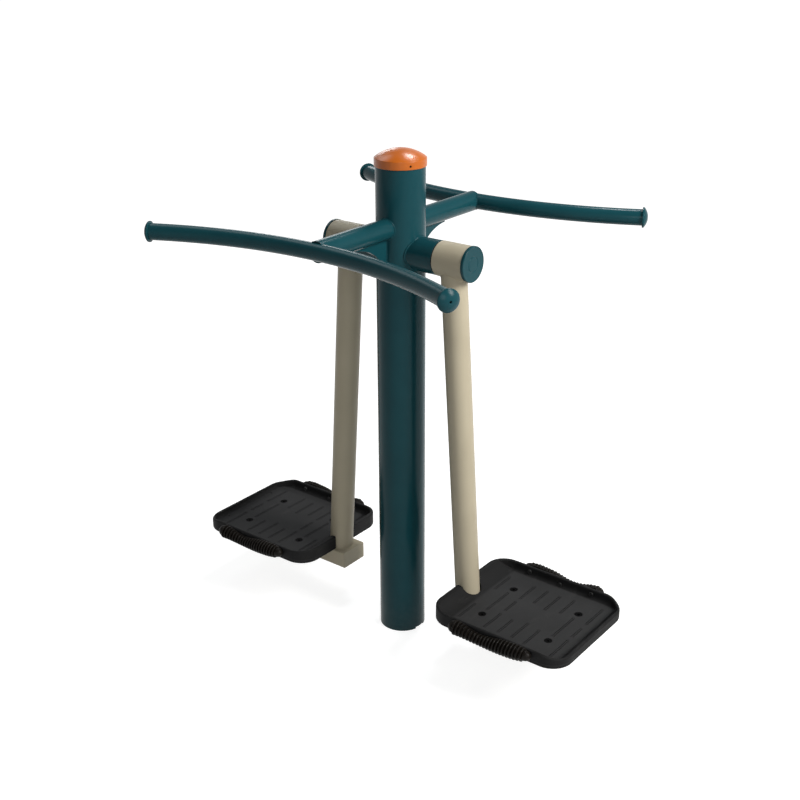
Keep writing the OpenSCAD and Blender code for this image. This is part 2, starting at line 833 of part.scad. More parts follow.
module plate_cavity() {
    in_w = plate_w - 2 * rim_w;
    in_len = plate_len - 2 * rim_w;
    depth = rim_in_h + 2 * cut;
    intersection() {
        translate([plate_x, 0, floor_z]) linear_extrude(depth)
            round_rect(in_len, in_w, plate_corner_r - rim_w);
        translate([plate_x, 0, floor_z]) rotate([90, 0, 0]) linear_extrude(plate_w, center = true)
            difference() {
                translate([-in_len / 2, 0]) square([in_len, depth]);
                translate([-in_len / 2, 0]) corner_waste(ramp_r);
                translate([in_len / 2, 0]) mirror([1, 0]) corner_waste(floor_fillet_r);
            }
        translate([plate_x, 0, floor_z]) rotate([90, 0, 90]) linear_extrude(plate_len, center = true)
            difference() {
                translate([-in_w / 2, 0]) square([in_w, depth]);
                translate([-in_w / 2, 0]) corner_waste(floor_fillet_r);
                translate([in_w / 2, 0]) mirror([1, 0]) corner_waste(floor_fillet_r);
            }
    }
}

module tube_notch() {
    r = tube_r + tube_notch_gap;
    translate([tube_foot_x, 0, beam_z]) cylinder(r = r, h = beam_h + floor_t + rim_in_h + cut);
    translate([beam_in_x, -r, beam_z])
        cube([tube_foot_x - beam_in_x, 2 * r, beam_h + floor_t + rim_in_h + cut]);
}

// One groove with round ends, from y0 to y1
module groove(x, y0, y1) {
    translate([x, 0, floor_z - groove_depth]) linear_extrude(groove_depth + cut) {
        translate([-groove_w / 2, y0]) square([groove_w, y1 - y0]);
        for (y = [y0, y1]) translate([0, y]) circle(d = groove_w);
    }
}

module grooves() {
    for (i = [0 : len(groove_shares) - 1]) for (s = groove_shares[i]) {
        x = groove_x0 + i * groove_pitch;
        groove(x, s[0] * groove_half, s[1] * groove_half);
        if (s[0] > 0) groove(x, -s[1] * groove_half, -s[0] * groove_half);
    }
}

// Pockets under the floor, in a band along each side and between the brackets
module pockets() {
    band_w = pocket_y1 - pocket_y0;
    step = (pocket_x1 - pocket_x0 + rib_w) / pocket_n;
    mid_x0 = bolt_x - bolt_dx + bracket_leg / 2 + rib_w;
    mid_len = bolt_pitch_x - bracket_leg - 2 * rib_w;
    for (side = [0, 1]) mirror([0, side, 0]) translate([0, 0, beam_top_z - cut]) {
        for (i = [0 : pocket_n - 1]) translate([pocket_x0 + i * step, pocket_y0, 0])
            cube([step - rib_w, band_w, pocket_depth + cut]);
        translate([mid_x0, beam_w / 2 + rib_w, 0]) cube([mid_len, bracket_len - rib_w, pocket_depth + cut]);
    }
}

// Places its children on the inner face of a rim at each guard bolt, with +Z out through the rim
module at_guard_bolts() {
    for (side = [0, 1]) mirror([0, side, 0]) one_side_bolts() children();
}

module one_side_bolts() {
    for (x = guard_bolt_x) translate([plate_x + x, rim_w - plate_w / 2, guard_z(x)])
        rotate([90, 0, 0]) children();
}

// Height of the guard's axis at a distance from its middle
function guard_z(x) = guard_mid_z + guard_bow_r - sqrt(pow(guard_bow_r, 2) - pow(x, 2));

module footplate() {
    color(black) difference() {
        intersection() {
            translate([plate_x, 0, beam_top_z]) linear_extrude(floor_t + rim_in_h + cut)
                round_rect(plate_len, plate_w, plate_corner_r);
            translate([plate_x, 0, 0]) rotate([90, 0, 0]) linear_extrude(plate_w + cut, center = true)
                plate_side_profile();
        }
        plate_cavity();
        tube_notch();
        grooves();
        pockets();
        for (y = [-drain_share, drain_share])
            translate([drain_x, y * plate_w / 2, 0]) cylinder(d = drain_d, h = floor_z + cut);
        at_bolts() {
            translate([0, 0, head_z]) cylinder(d = counterbore_d, h = counterbore_depth + cut);
            cylinder(d = bolt_d + 2 * run_gap, h = floor_z);
        }
        at_guard_bolts() {
            cylinder(d = guard_bolt_d + 2 * slip, h = rim_w + cut);
            translate([0, 0, -2 * floor_fillet_r]) cylinder(r = spot_r, h = 2 * floor_fillet_r);
        }
    }
}

module footplate_bolts() {
    color(steel) at_bolts() translate([0, 0, head_z]) difference() {
        union() {
            cylinder(d = bolt_head_d, h = bolt_head_h);
            translate([0, 0, -bolt_len]) cylinder(d = bolt_d, h = bolt_len + bolt_head_h / 2);
        }
        translate([0, 0, bolt_head_h * recess_share])
            cylinder(d = bolt_socket_af / cos(30), h = cut, $fn = 6);
    }
}

module footplate_nuts() {
    color(steel) at_bolts() translate([0, 0, beam_top_z - bracket_t]) difference() {
        union() {
            translate([0, 0, -nut_flange_t]) cylinder(d = nut_flange_d, h = nut_flange_t);
            translate([0, 0, -nut_h]) cylinder(d = nut_af / cos(30), h = nut_h, $fn = 6);
        }
        translate([0, 0, -nut_h - cut]) cylinder(d = bolt_d + 2 * slip, h = nut_h + 2 * cut);
    }
}

// Guards, drawn for the front side of the right footplate

// Places its children on the guard's axis at a distance along it, with +Z along the axis
module on_guard(s) {
    translate([plate_x, -guard_y, guard_mid_z + guard_bow_r]) rotate([0, -s / guard_bow_r * 180 / PI, 0])
        translate([0, 0, -guard_bow_r]) rotate([0, 90, 0]) children();
}

module guard() {
    collar = guard_end_d * guard_collar_share;
    color(rib_black) difference() {
        union() {
            translate([plate_x, -guard_y, guard_mid_z + guard_bow_r]) rotate([90, 0, 0])
                rotate([0, 0, -90 - guard_half]) rotate_extrude(angle = 2 * guard_half)
                    translate([guard_bow_r, 0]) circle(d = guard_core_d);
            for (i = [0 : guard_rib_n - 1]) on_guard((i - (guard_rib_n - 1) / 2) * guard_rib_pitch)
                translate([0, 0, -guard_rib_t / 2]) cylinder(d = guard_rib_d, h = guard_rib_t);
            for (side = [-1, 1]) on_guard(side * guard_bow_r * guard_half * PI / 180) {
                sphere(d = guard_end_d);
                translate([0, 0, -collar * (1 + side) / 2]) cylinder(d = guard_end_d, h = collar);
            }
        }
        translate([plate_x - guard_len, -plate_w / 2, beam_z])
            cube([2 * guard_len, plate_w, floor_z + guard_rib_d]);
        one_side_bolts() cylinder(d = insert_d + 2 * slip, h = rim_w + insert_len);
    }
}

module guard_bolts() {
    len = rim_w + insert_len - slip;
    color(steel) at_guard_bolts() difference() {
        union() {
            translate([0, 0, -guard_head_h]) cylinder(d = guard_head_d, h = guard_head_h);
            cylinder(d = guard_bolt_d, h = len);
        }
        translate([0, 0, -guard_head_h - cut])
            cylinder(d = guard_bolt_d * socket_share, h = guard_head_h / 2 + cut, $fn = 6);
    }
}

module guard_inserts() {
    color(brass) at_guard_bolts() translate([0, 0, rim_w]) difference() {
        cylinder(d = insert_d, h = insert_len);
        translate([0, 0, -cut]) cylinder(d = guard_bolt_d + 2 * slip, h = insert_len + 2 * cut);
    }
}

main_post();
foot_sleeve();
clamp_screws();
post_cap();
post_cap_screws();
arm();  // front_arm
behind() arm();  // back_arm
gusset();  // front_gusset
behind() gusset();  // back_gusset
handlebar();  // front_handlebar
behind() handlebar();  // back_handlebar
end_caps();  // front_end_caps
behind() end_caps();  // back_end_caps
end_cap_screws();
pivot_axle();
axle_washers();
axle_nuts();
hub_stub();  // right_hub_stub
mirrored() hub_stub();  // left_hub_stub
stop_pin();  // right_stop_pin
mirrored() stop_pin();  // left_stop_pin
seal_ring();  // right_seal_ring
mirrored() seal_ring();  // left_seal_ring
inner_rings();  // right_inner_rings
mirrored() inner_rings();  // left_inner_rings
bearing_balls();  // right_bearing_balls
mirrored() bearing_balls();  // left_bearing_balls
spacer_sleeve();  // right_spacer_sleeve
mirrored() spacer_sleeve();  // left_spacer_sleeve
bearing_housing();  // right_bearing_housing
mirrored() bearing_housing();  // left_bearing_housing
outer_rings();  // right_outer_rings
mirrored() outer_rings();  // left_outer_rings
retaining_ring();  // right_retaining_ring
mirrored() retaining_ring();  // left_retaining_ring
hub_cap();  // right_hub_cap
mirrored() hub_cap();  // left_hub_cap
pendulum_tube();  // right_pendulum_tube
mirrored() pendulum_tube();  // left_pendulum_tube
foot_beam();  // right_foot_beam
mirrored() foot_beam();  // left_foot_beam
beam_end_plates();  // right_beam_end_plates
mirrored() beam_end_plates();  // left_beam_end_plates
cross_brackets();  // right_cross_brackets
mirrored() cross_brackets();  // left_cross_brackets
footplate();  // right_footplate
mirrored() footplate();  // left_footplate
guard();  // right_front_guard
mirrored() guard();  // left_front_guard
behind() guard();  // right_back_guard
mirrored() behind() guard();  // left_back_guard
guard_bolts();  // right_guard_bolts
mirrored() guard_bolts();  // left_guard_bolts
guard_inserts();  // right_guard_inserts
mirrored() guard_inserts();  // left_guard_inserts
footplate_bolts();  // right_footplate_bolts
mirrored() footplate_bolts();  // left_footplate_bolts
footplate_nuts();  // right_footplate_nuts
mirrored() footplate_nuts();  // left_footplate_nuts
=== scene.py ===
import math

import bmesh
import bpy
from mathutils import Matrix, Vector


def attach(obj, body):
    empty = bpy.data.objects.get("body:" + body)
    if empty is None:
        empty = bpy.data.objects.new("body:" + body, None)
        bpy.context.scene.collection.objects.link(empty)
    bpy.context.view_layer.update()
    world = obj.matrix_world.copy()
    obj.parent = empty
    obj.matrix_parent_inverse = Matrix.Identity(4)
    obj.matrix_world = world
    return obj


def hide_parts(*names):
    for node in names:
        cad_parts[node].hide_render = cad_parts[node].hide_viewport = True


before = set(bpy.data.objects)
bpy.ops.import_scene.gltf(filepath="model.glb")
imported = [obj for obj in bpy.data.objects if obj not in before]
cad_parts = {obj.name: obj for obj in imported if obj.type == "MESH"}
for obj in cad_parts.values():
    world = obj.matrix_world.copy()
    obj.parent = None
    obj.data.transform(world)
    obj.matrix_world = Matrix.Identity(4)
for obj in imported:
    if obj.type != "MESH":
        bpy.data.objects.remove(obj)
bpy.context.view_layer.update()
print("frame loaded,", len(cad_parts), "CAD nodes")

# Camera, light and floor

view = {
    "place": (1.6458, -2.1126, 1.7450),
    "heading": 37.9993,     # degrees about Z
    "tilt": 67.1541,        # degrees up from straight down
    "roll": -0.3106,
    "lens": 54.458,
    "sensor": 36,
    "farthest": 200,
}

lights = {
    # name: (azimuth, elevation, distance, width, height, watts, colour)
    "keyBox": (6, 36, 3.4, 1.0, 1.6, 130, (1.0, 0.985, 0.96)),
    "fillBox": (-46, 20, 3.8, 1.6, 1.6, 31, (0.95, 0.98, 1.0)),
    "overheadBox": (100, 62, 3.0, 0.5, 0.5, 27, (0.93, 0.97, 1.0)),
    "leftBox": (172, 53, 3.2, 1.2, 1.2, 13, (0.94, 0.98, 1.0)),
    "rimBox": (138, 24, 3.6, 0.8, 0.5, 7, (0.96, 0.98, 1.0)),
}
lightAim = Vector((0, 0, 0.62))

room = {
    "worldColour": (1, 1, 1, 1),
    "worldLevel": 0.15,
    "backgroundLevel": 1.0,
    "overheadLevel": 0.22,  # what shiny surfaces meet overhead, where the studio is dim
    "dimFrom": 0.12,        # sines of the elevations between which it dims
    "dimTo": 0.60,
    "floorSize": 60,
    "floorColour": (0.42, 0.42, 0.413, 1),
    "floorGlow": 0.85,      # camera light under the object, where its shadow shows
    "glowNear": 0.9,
    "glowFar": 3.2,
}


class Wire:
    # One output socket of a node: sums on it add Math nodes, and node() adds any other
    def __init__(self, tree, socket=None):
        self.tree = tree
        self.socket = socket

    def node(self, kind, settings=None, sockets=None, output=0):
        made = self.tree.nodes.new(kind)
        for name, value in (settings or {}).items():
            setattr(made, name, value)
        for name, value in (sockets or {}).items():
            if isinstance(value, Wire):
                self.tree.links.new(value.socket, made.inputs[name])
            else:
                made.inputs[name].default_value = value
        return Wire(self.tree, made.outputs[output] if len(made.outputs) else None)

    def sum(self, operation, *values):
        return self.node("ShaderNodeMath", {"operation": operation}, dict(enumerate(values)))

    def __add__(self, other):
        return self.sum("ADD", self, other)

    def __sub__(self, other):
        return self.sum("SUBTRACT", self, other)

    def __rsub__(self, other):
        return self.sum("SUBTRACT", other, self)

    def __mul__(self, other):
        return self.sum("MULTIPLY", self, other)

    def __truediv__(self, other):
        return self.sum("DIVIDE", self, other)

    def __pow__(self, other):
        return self.sum("POWER", self, other)

    __radd__ = __add__
    __rmul__ = __mul__

    def held(self):
        # the value kept between 0 and 1
        return self.node("ShaderNodeClamp", None, {"Value": self})

    def spread(self, contrast):
        # the value with more contrast about its middle, kept between 0 and 1
        return (self * contrast - (contrast - 1) / 2).held()

    def blend(self, low, high):
        # a colour from low to high as this value goes from 0 to 1
        return self.node("ShaderNodeMix", {"data_type": "RGBA"}, {0: self, 6: low, 7: high}, 2)

    def noise(self, scale, detail=2.0, roughness=0.5):
        sockets = {"Vector": self, "Scale": scale, "Detail": detail, "Roughness": roughness}
        return self.node("ShaderNodeTexNoise", None, sockets)

    def stretched(self, scale):
        return self.node("ShaderNodeMapping", None, {"Vector": self, "Scale": scale})

    def bump(self, strength, depth):
        return self.node("ShaderNodeBump", None, {"Height": self, "Strength": strength, "Distance": depth})


def added(name, data):
    thing = bpy.data.objects.new(name, data)
    bpy.context.scene.collection.objects.link(thing)
    return thing


def newTree(material):
    material.use_nodes = True
    material.node_tree.nodes.clear()
    return Wire(material.node_tree)


def setCamera():
    bpy.context.scene.view_settings.view_transform = "Standard"
    camera = added("camera", bpy.data.cameras.new("camera"))
    turn = Matrix.Rotation(math.radians(view["heading"]), 4, "Z")
    turn = turn @ Matrix.Rotation(math.radians(view["tilt"]), 4, "X")
    turn = turn @ Matrix.Rotation(math.radians(view["roll"]), 4, "Z")
    camera.matrix_world = Matrix.Translation(view["place"]) @ turn
    camera.data.lens = view["lens"]
    camera.data.sensor_width = view["sensor"]
    camera.data.clip_end = view["farthest"]
    bpy.context.scene.camera = camera


def setLights():
    for name, (azimuth, elevation, distance, width, height, watts, colour) in lights.items():
        lamp = bpy.data.lights.new(name, "AREA")
        lamp.shape = "RECTANGLE"
        lamp.size = width
        lamp.size_y = height
        lamp.energy = watts
        lamp.color = colour
        holder = added(name, lamp)
        side = math.radians(azimuth)
        rise = math.radians(elevation)
        away = Vector((math.cos(side) * math.cos(rise), math.sin(side) * math.cos(rise), math.sin(rise)))
        holder.location = lightAim + away * distance
        holder.rotation_euler = away.to_track_quat("Z", "Y").to_euler()


def seenRays(wire):
    # 1 for rays that should meet the white background: camera, glossy and transmission
    camera = wire.node("ShaderNodeLightPath", output="Is Camera Ray")
    glossy = wire.node("ShaderNodeLightPath", output="Is Glossy Ray")
    through = wire.node("ShaderNodeLightPath", output="Is Transmission Ray")
    return (camera + glossy + through).held()


def setWorld():
    world = bpy.data.worlds.new("studio")
    bpy.context.scene.world = world
    wire = newTree(world)
    level = room["worldLevel"]
    toward = wire.node("ShaderNodeTexCoord", output="Generated")
    rise = toward.node("ShaderNodeSeparateXYZ", None, {"Vector": toward}, "Z")
    dim = ((rise - room["dimFrom"]) / (room["dimTo"] - room["dimFrom"])).held()
    seen = dim * (room["overheadLevel"] - room["backgroundLevel"]) + room["backgroundLevel"]
    strength = seenRays(wire) * (seen - level) + level
    sky = wire.node("ShaderNodeBackground", None, {"Color": room["worldColour"], "Strength": strength})
    wire.node("ShaderNodeOutputWorld", None, {"Surface": sky})


def setFloor():
    bpy.ops.mesh.primitive_plane_add(size=room["floorSize"], location=(0, 0, 0))
    floor = bpy.context.object
    floor.name = "floor"
    material = bpy.data.materials.new("paleFloor")
    wire = newTree(material)
    place = wire.node("ShaderNodeTexCoord", output="Object")
    reach = place.node("ShaderNodeVectorMath", {"operation": "LENGTH"}, {0: place}, "Value")
    far = ((reach - room["glowNear"]) / (room["glowFar"] - room["glowNear"])).held()
    glow = (far * (1 - room["floorGlow"]) + room["floorGlow"]) * seenRays(wire)
    matt = wire.node("ShaderNodeBsdfDiffuse", None, {"Color": room["floorColour"]})
    shine = wire.node("ShaderNodeEmission", None, {"Strength": glow})
    both = wire.node("ShaderNodeAddShader", None, {0: matt, 1: shine})
    wire.node("ShaderNodeOutputMaterial", None, {"Surface": both})
    floor.data.materials.append(material)


setCamera()
setLights()
setWorld()
setFloor()
print("camera, light and floor set")

# Finishes

finishes = {
    "tealPaint": {
        "dark": (0.0045, 0.042, 0.053, 1), "light": (0.0080, 0.056, 0.068, 1),
        "roughness": 0.24, "drift": 0.08, "peelScale": 620, "peelStrength": 0.08, "shine": 0.10,
        "dust": (0.12, 0.13, 0.12, 1), "dustTop": 0.16, "dustShare": 0.16,
    },
    "orangePaint": {
        "dark": (0.40, 0.088, 0.002, 1), "light": (0.47, 0.108, 0.003, 1),
        "roughness": 0.29, "drift": 0.06, "peelScale": 520, "peelStrength": 0.02, "shine": 0.40,
        "dustShare": 0,
    },
    "beigePaint": {
        "dark": (0.395, 0.348, 0.254, 1), "light": (0.455, 0.404, 0.298, 1),
        "roughness": 0.42, "drift": 0.08, "peelScale": 620, "peelStrength": 0.10, "shine": 0.20,
        "dust": (0.30, 0.27, 0.22, 1), "dustTop": 0.20, "dustShare": 0.12,
    },
    "trayPlastic": {
        "dark": (0.0100, 0.0100, 0.0102, 1), "light": (0.0150, 0.0150, 0.0153, 1),
        # painted light and shade: colours for the floor face at this height, painted paler than the darker
        # walls, ramps and grooves
        "wornDark": (0.0215, 0.0215, 0.0219, 1), "wornLight": (0.0310, 0.0310, 0.0316, 1),
        "wornHeight": 0.1645, "wornSoft": 0.0011,
        "scuff": (0.052, 0.051, 0.050, 1), "scuffShare": 0.30, "shine": 0.08,
        "roughness": 0.62, "drift": 0.12, "grainScale": 1500, "grainStrength": 0.22,
    },
    "guardRubber": {
        "dark": (0.0036, 0.0028, 0.0022, 1), "light": (0.0080, 0.0062, 0.0046, 1),
        "scuff": (0.03, 0.025, 0.020, 1), "scuffShare": 0.12, "shine": 0.10,
        "roughness": 0.44, "drift": 0.14, "grainScale": 1100, "grainStrength": 0.16,
    },
    "sealRubber": {
        "dark": (0.010, 0.010, 0.010, 1), "light": (0.020, 0.020, 0.020, 1),
        "scuff": (0.03, 0.03, 0.03, 1), "scuffShare": 0.10, "shine": 0.16,
        "roughness": 0.6, "drift": 0.1, "grainScale": 1500, "grainStrength": 0.10,
    },
    "zincPlate": {
        "dark": (0.40, 0.41, 0.42, 1), "light": (0.60, 0.61, 0.62, 1),
        "metal": 1.0, "roughness": 0.38, "drift": 0.20, "grainScale": 900, "grainStrength": 0.06,
    },
    "blackSteel": {
        "dark": (0.0014, 0.0014, 0.0014, 1), "light": (0.0028, 0.0028, 0.0029, 1),
        "scuff": (0.006, 0.006, 0.006, 1), "scuffShare": 0.15, "shine": 0.03,
        "roughness": 0.6, "drift": 0.15, "grainScale": 1200, "grainStrength": 0.06,
    },
    "dullZinc": {
        "dark": (0.045, 0.045, 0.045, 1), "light": (0.08, 0.08, 0.08, 1),
        "metal": 1.0, "roughness": 0.52, "drift": 0.15, "grainScale": 900, "grainStrength": 0.06,
    },
    "groundSteel": {
        "dark": (0.52, 0.53, 0.55, 1), "light": (0.66, 0.67, 0.69, 1),
        "metal": 1.0, "roughness": 0.22, "drift": 0.10, "grainScale": 1600, "grainStrength": 0.04,
    },
    "brass": {
        "dark": (0.50, 0.34, 0.12, 1), "light": (0.66, 0.48, 0.20, 1),
        "metal": 1.0, "roughness": 0.30, "drift": 0.12, "grainScale": 1400, "grainStrength": 0.05,
    },
}

# Noise as (scale, detail, roughness), where the scale of peel and grain comes from each finish
noises = {
    "paintCloud": (9, 3), "peel": (2, 0.4), "dustCloud": (60, 5, 0.6), "mouldCloud": (14, 4, 0.55),
    "grain": (2, 0.5), "rubbed": (1, 6, 0.7), "metalCloud": (45, 4, 0.6),
}

surface = {
    "paintSpread": 1.5, "mouldSpread": 1.4, "fineScale": 4, "fineShare": 0.2, "fineDrift": 0.05,
    "paintBump": 0.0006, "mouldBump": 0.0004, "metalBump": 0.0003, "dustGain": 2, "grainDrift": 0.12,
    "rubbedStretch": (30, 9, 30), "rubbedFrom": 0.56, "rubbedGain": 6,
}


def paintSockets(wire, look):
    # powder coat: orange peel, slow colour drift and a little ground dust low down
    place = wire.node("ShaderNodeTexCoord", output="Object")
    cloud = place.noise(*noises["paintCloud"])
    peel = place.noise(look["peelScale"], *noises["peel"])
    fine = place.noise(look["peelScale"] * surface["fineScale"], 1)
    fineShare = surface["fineShare"]
    tone = cloud.spread(surface["paintSpread"]).blend(look["dark"], look["light"])
    if look["dustShare"] > 0:
        height = place.node("ShaderNodeSeparateXYZ", None, {"Vector": place}, "Z")
        settled = place.noise(*noises["dustCloud"])
        low = (1 - height / look["dustTop"]).held() ** 2
        dusty = low * settled * look["dustShare"] * surface["dustGain"]
        tone = dusty.held().blend(tone, look["dust"])
    drift = (cloud - 0.5) * look["drift"] + (fine - 0.5) * surface["fineDrift"]
    skin = peel * (1 - fineShare) + fine * fineShare
    return {
        "Base Color": tone,
        "Roughness": (look["roughness"] + drift).held(),
        "Normal": skin.bump(look["peelStrength"], surface["paintBump"]),
        "Specular IOR Level": look["shine"],
    }


def mouldedSockets(wire, look):
    # moulded black plastic and rubber: fine grain, flow marks and light rubbed patches, and on the tray a
    # floor face painted paler than its walls, ramps and grooves, which are darker as painted shade
    place = wire.node("ShaderNodeTexCoord", output="Object")
    cloud = place.noise(*noises["mouldCloud"])
    grain = place.noise(look["grainScale"], *noises["grain"])
    rubbed = place.stretched(surface["rubbedStretch"]).noise(*noises["rubbed"])
    flow = cloud.spread(surface["mouldSpread"])
    tone = flow.blend(look["dark"], look["light"])
    if "wornHeight" in look:
        # painted light and shade: the face that feet stand on is painted paler, and the walls, ramps and
        # grooves beside and below it darker, as painted shade in the recesses
        height = place.node("ShaderNodeSeparateXYZ", None, {"Vector": place}, "Z")
        away = height.sum("ABSOLUTE", height - look["wornHeight"])
        litFloor = flow.blend(look["wornDark"], look["wornLight"])
        tone = (1 - away / look["wornSoft"]).held().blend(tone, litFloor)
    marks = ((rubbed - surface["rubbedFrom"]) * surface["rubbedGain"]).held() * look["scuffShare"]
    drift = (cloud - 0.5) * look["drift"] + (grain - 0.5) * surface["grainDrift"]
    return {
        "Base Color": marks.blend(tone, look["scuff"]),
        "Roughness": (look["roughness"] + drift).held(),
        "Normal": grain.bump(look["grainStrength"], surface["mouldBump"]),
        "Specular IOR Level": look["shine"],
    }


def metalSockets(wire, look):
    place = wire.node("ShaderNodeTexCoord", output="Object")
    cloud = place.noise(*noises["metalCloud"])
    grain = place.noise(look["grainScale"], *noises["grain"])
    return {
        "Base Color": cloud.spread(surface["paintSpread"]).blend(look["dark"], look["light"]),
        "Roughness": (look["roughness"] + (cloud - 0.5) * look["drift"]).held(),
        "Normal": grain.bump(look["grainStrength"], surface["metalBump"]),
        "Metallic": look["metal"],
    }


def makeFinish(name):
    look = finishes[name]
    material = bpy.data.materials.new(name)
    wire = newTree(material)
    if "peelScale" in look:
        sockets = paintSockets(wire, look)
    elif "metal" in look:
        sockets = metalSockets(wire, look)
    else:
        sockets = mouldedSockets(wire, look)
    coat = wire.node("ShaderNodeBsdfPrincipled", None, sockets)
    wire.node("ShaderNodeOutputMaterial", None, {"Surface": coat})
    return material


finish = {name: makeFinish(name) for name in finishes}
print("finishes made:", len(finish))

# Modelling helpers

smoothAngle = math.radians(32)
weldDistance = 0.000002
seedSize = 0.001
steepness = 10
facing = 0.9        # how far a normal leans along an axis for its face to count as facing it
touch = 0.0001
hair = 0.001
sharpAngle = 60     # degrees between faces, for pieces where only square edges are rounded
holeSides = 24
normalWeight = 80
beadSteps = 3
rippleShare = 0.84  # how thin a weld is between its ripples


def quarter(turns):
    return math.radians(90 * turns)


def leg(longest, other):
    # the third side of a right-angled triangle
    return math.sqrt(longest ** 2 - other ** 2)


def makeActive(piece):
    if bpy.context.mode != "OBJECT":
        bpy.ops.object.mode_set(mode="OBJECT")
    bpy.ops.object.select_all(action="DESELECT")
    piece.select_set(True)
    bpy.context.view_layer.objects.active = piece


def startEdit(piece):
    makeActive(piece)
    bpy.ops.object.mode_set(mode="EDIT")
    bpy.ops.mesh.select_mode(type="VERT")
    bpy.ops.mesh.select_all(action="DESELECT")


def endEdit():
    bpy.ops.object.mode_set(mode="OBJECT")


def selectAll():
    bpy.ops.mesh.select_all(action="SELECT")


def bevelPicked(width, steps, **settings):
    bpy.ops.mesh.bevel(offset=width, segments=steps, affect="EDGES", **settings)


def pick(kind, test):
    # selects the edges or faces that pass the test
    bpy.ops.mesh.select_mode(type=kind)
    bpy.ops.mesh.select_all(action="DESELECT")
    mesh = bmesh.from_edit_mesh(bpy.context.edit_object.data)
    mesh.normal_update()
    for part in {"EDGE": mesh.edges, "FACE": mesh.faces}[kind]:
        if test(part):
            part.select_set(True)
    mesh.select_flush_mode()
    bmesh.update_edit_mesh(bpy.context.edit_object.data)


def upright(edge):
    run = edge.verts[1].co - edge.verts[0].co
    return abs(run.z) > steepness * (abs(run.x) + abs(run.y))


def lengthwise(edge):
    return abs(edge.verts[0].co.x - edge.verts[1].co.x) > hair


def lowEdge(edge, height):
    return all(vertex.co.z < height + hair for vertex in edge.verts)


def eased(share):
    # a share from 0 to 1 with a soft start and end
    return share * share * (3 - 2 * share)


def faceOut():
    selectAll()
    bpy.ops.mesh.remove_doubles(threshold=weldDistance)
    bpy.ops.mesh.normals_make_consistent(inside=False)


def named(name):
    piece = bpy.context.object
    piece.name = name
    piece.data.name = name
    return piece


def placed(piece, location=(0, 0, 0), rotation=(0, 0, 0), scale=(1, 1, 1)):
    # moves a piece and leaves its object at the origin
    makeActive(piece)
    piece.location = location
    piece.rotation_euler = rotation
    piece.scale = scale
    bpy.ops.object.transform_apply(location=True, rotation=True, scale=True)
    if min(scale) < 0:
        startEdit(piece)
        faceOut()
        endEdit()
    return piece


def modify(piece, kind, **settings):
    makeActive(piece)
    modifier = piece.modifiers.new(kind.lower(), kind)
    for name, value in settings.items():
        setattr(modifier, name, value)
    bpy.ops.object.modifier_apply(modifier=modifier.name)
    return piece


def rounded(piece, width, segments=3, angle=35):
    modify(piece, "BEVEL", width=width, segments=segments, limit_method="ANGLE",
           angle_limit=math.radians(angle), use_clamp_overlap=False, harden_normals=False)
    return piece


def thickened(piece, wall):
    return modify(piece, "SOLIDIFY", thickness=wall, offset=-1, use_even_offset=True)


def cutBy(piece, *cutters):
    for cutter in cutters:
        modify(piece, "BOOLEAN", object=cutter, operation="DIFFERENCE", solver="EXACT")
        bpy.data.objects.remove(cutter)
    return piece


def keptIn(piece, *limits):
    for limit in limits:
        modify(piece, "BOOLEAN", object=limit, operation="INTERSECT", solver="EXACT")
        bpy.data.objects.remove(limit)
    return piece


def joined(pieces):
    makeActive(pieces[0])
    for piece in pieces:
        piece.select_set(True)
    bpy.ops.object.join()
    return pieces[0]


def chain(name, points, closed):
    # a line of edges, drawn by extruding one vertex from point to point
    bpy.ops.mesh.primitive_plane_add(size=seedSize, location=(0, 0, 0))
    piece = named(name)
    startEdit(piece)
    selectAll()
    bpy.ops.mesh.merge(type="CENTER")
    here = Vector(points[0])
    bpy.ops.transform.translate(value=here)
    for point in list(points[1:]) + ([points[0]] if closed else []):
        there = Vector(point)
        bpy.ops.mesh.extrude_vertices_move(TRANSFORM_OT_translate={"value": there - here})
        here = there
    selectAll()
    bpy.ops.mesh.remove_doubles(threshold=weldDistance)
    return piece


def turned(name, profile, steps, closed=False, sweep=360, start=0):
    # spins a profile of (radius, height) points about Z
    side = math.radians(start)
    points = [(radius * math.cos(side), radius * math.sin(side), height) for radius, height in profile]
    piece = chain(name, points, closed)
    selectAll()
    bpy.ops.mesh.spin(steps=steps, angle=-math.radians(sweep), center=(0, 0, 0), axis=(0, 0, 1))
    selectAll()
    bpy.ops.mesh.remove_doubles(threshold=weldDistance)
    if sweep < 360:
        bpy.ops.mesh.fill_holes(sides=0)
    faceOut()
    endEdit()
    return piece


def prism(name, points, run):
    # a closed outline filled and extruded by run
    piece = chain(name, points, True)
    selectAll()
    bpy.ops.mesh.edge_face_add()
    bpy.ops.mesh.extrude_region_move(TRANSFORM_OT_translate={"value": run})
    faceOut()
    endEdit()
    return piece


def block(name, low, high):
    low, high = Vector(low), Vector(high)
    bpy.ops.mesh.primitive_cube_add(size=1, location=(0, 0, 0))
    return placed(named(name), (low + high) / 2, (0, 0, 0), high - low)


def roundedBlock(name, low, high, radius, segments, test=upright):
    # a block whose four upright edges, or those that pass another test, are rounded
    piece = block(name, low, high)
    startEdit(piece)
    pick("EDGE", test)
    bevelPicked(radius, segments)
    endEdit()
    return piece


def rod(name, radius, start, end, sides, endless=False):
    start, end = Vector(start), Vector(end)
    run = end - start
    bpy.ops.mesh.primitive_cylinder_add(vertices=sides, radius=radius, depth=run.length,
                                        end_fill_type="NOTHING" if endless else "NGON")
    return placed(named(name), (start + end) / 2, run.to_track_quat("Z", "Y").to_euler())


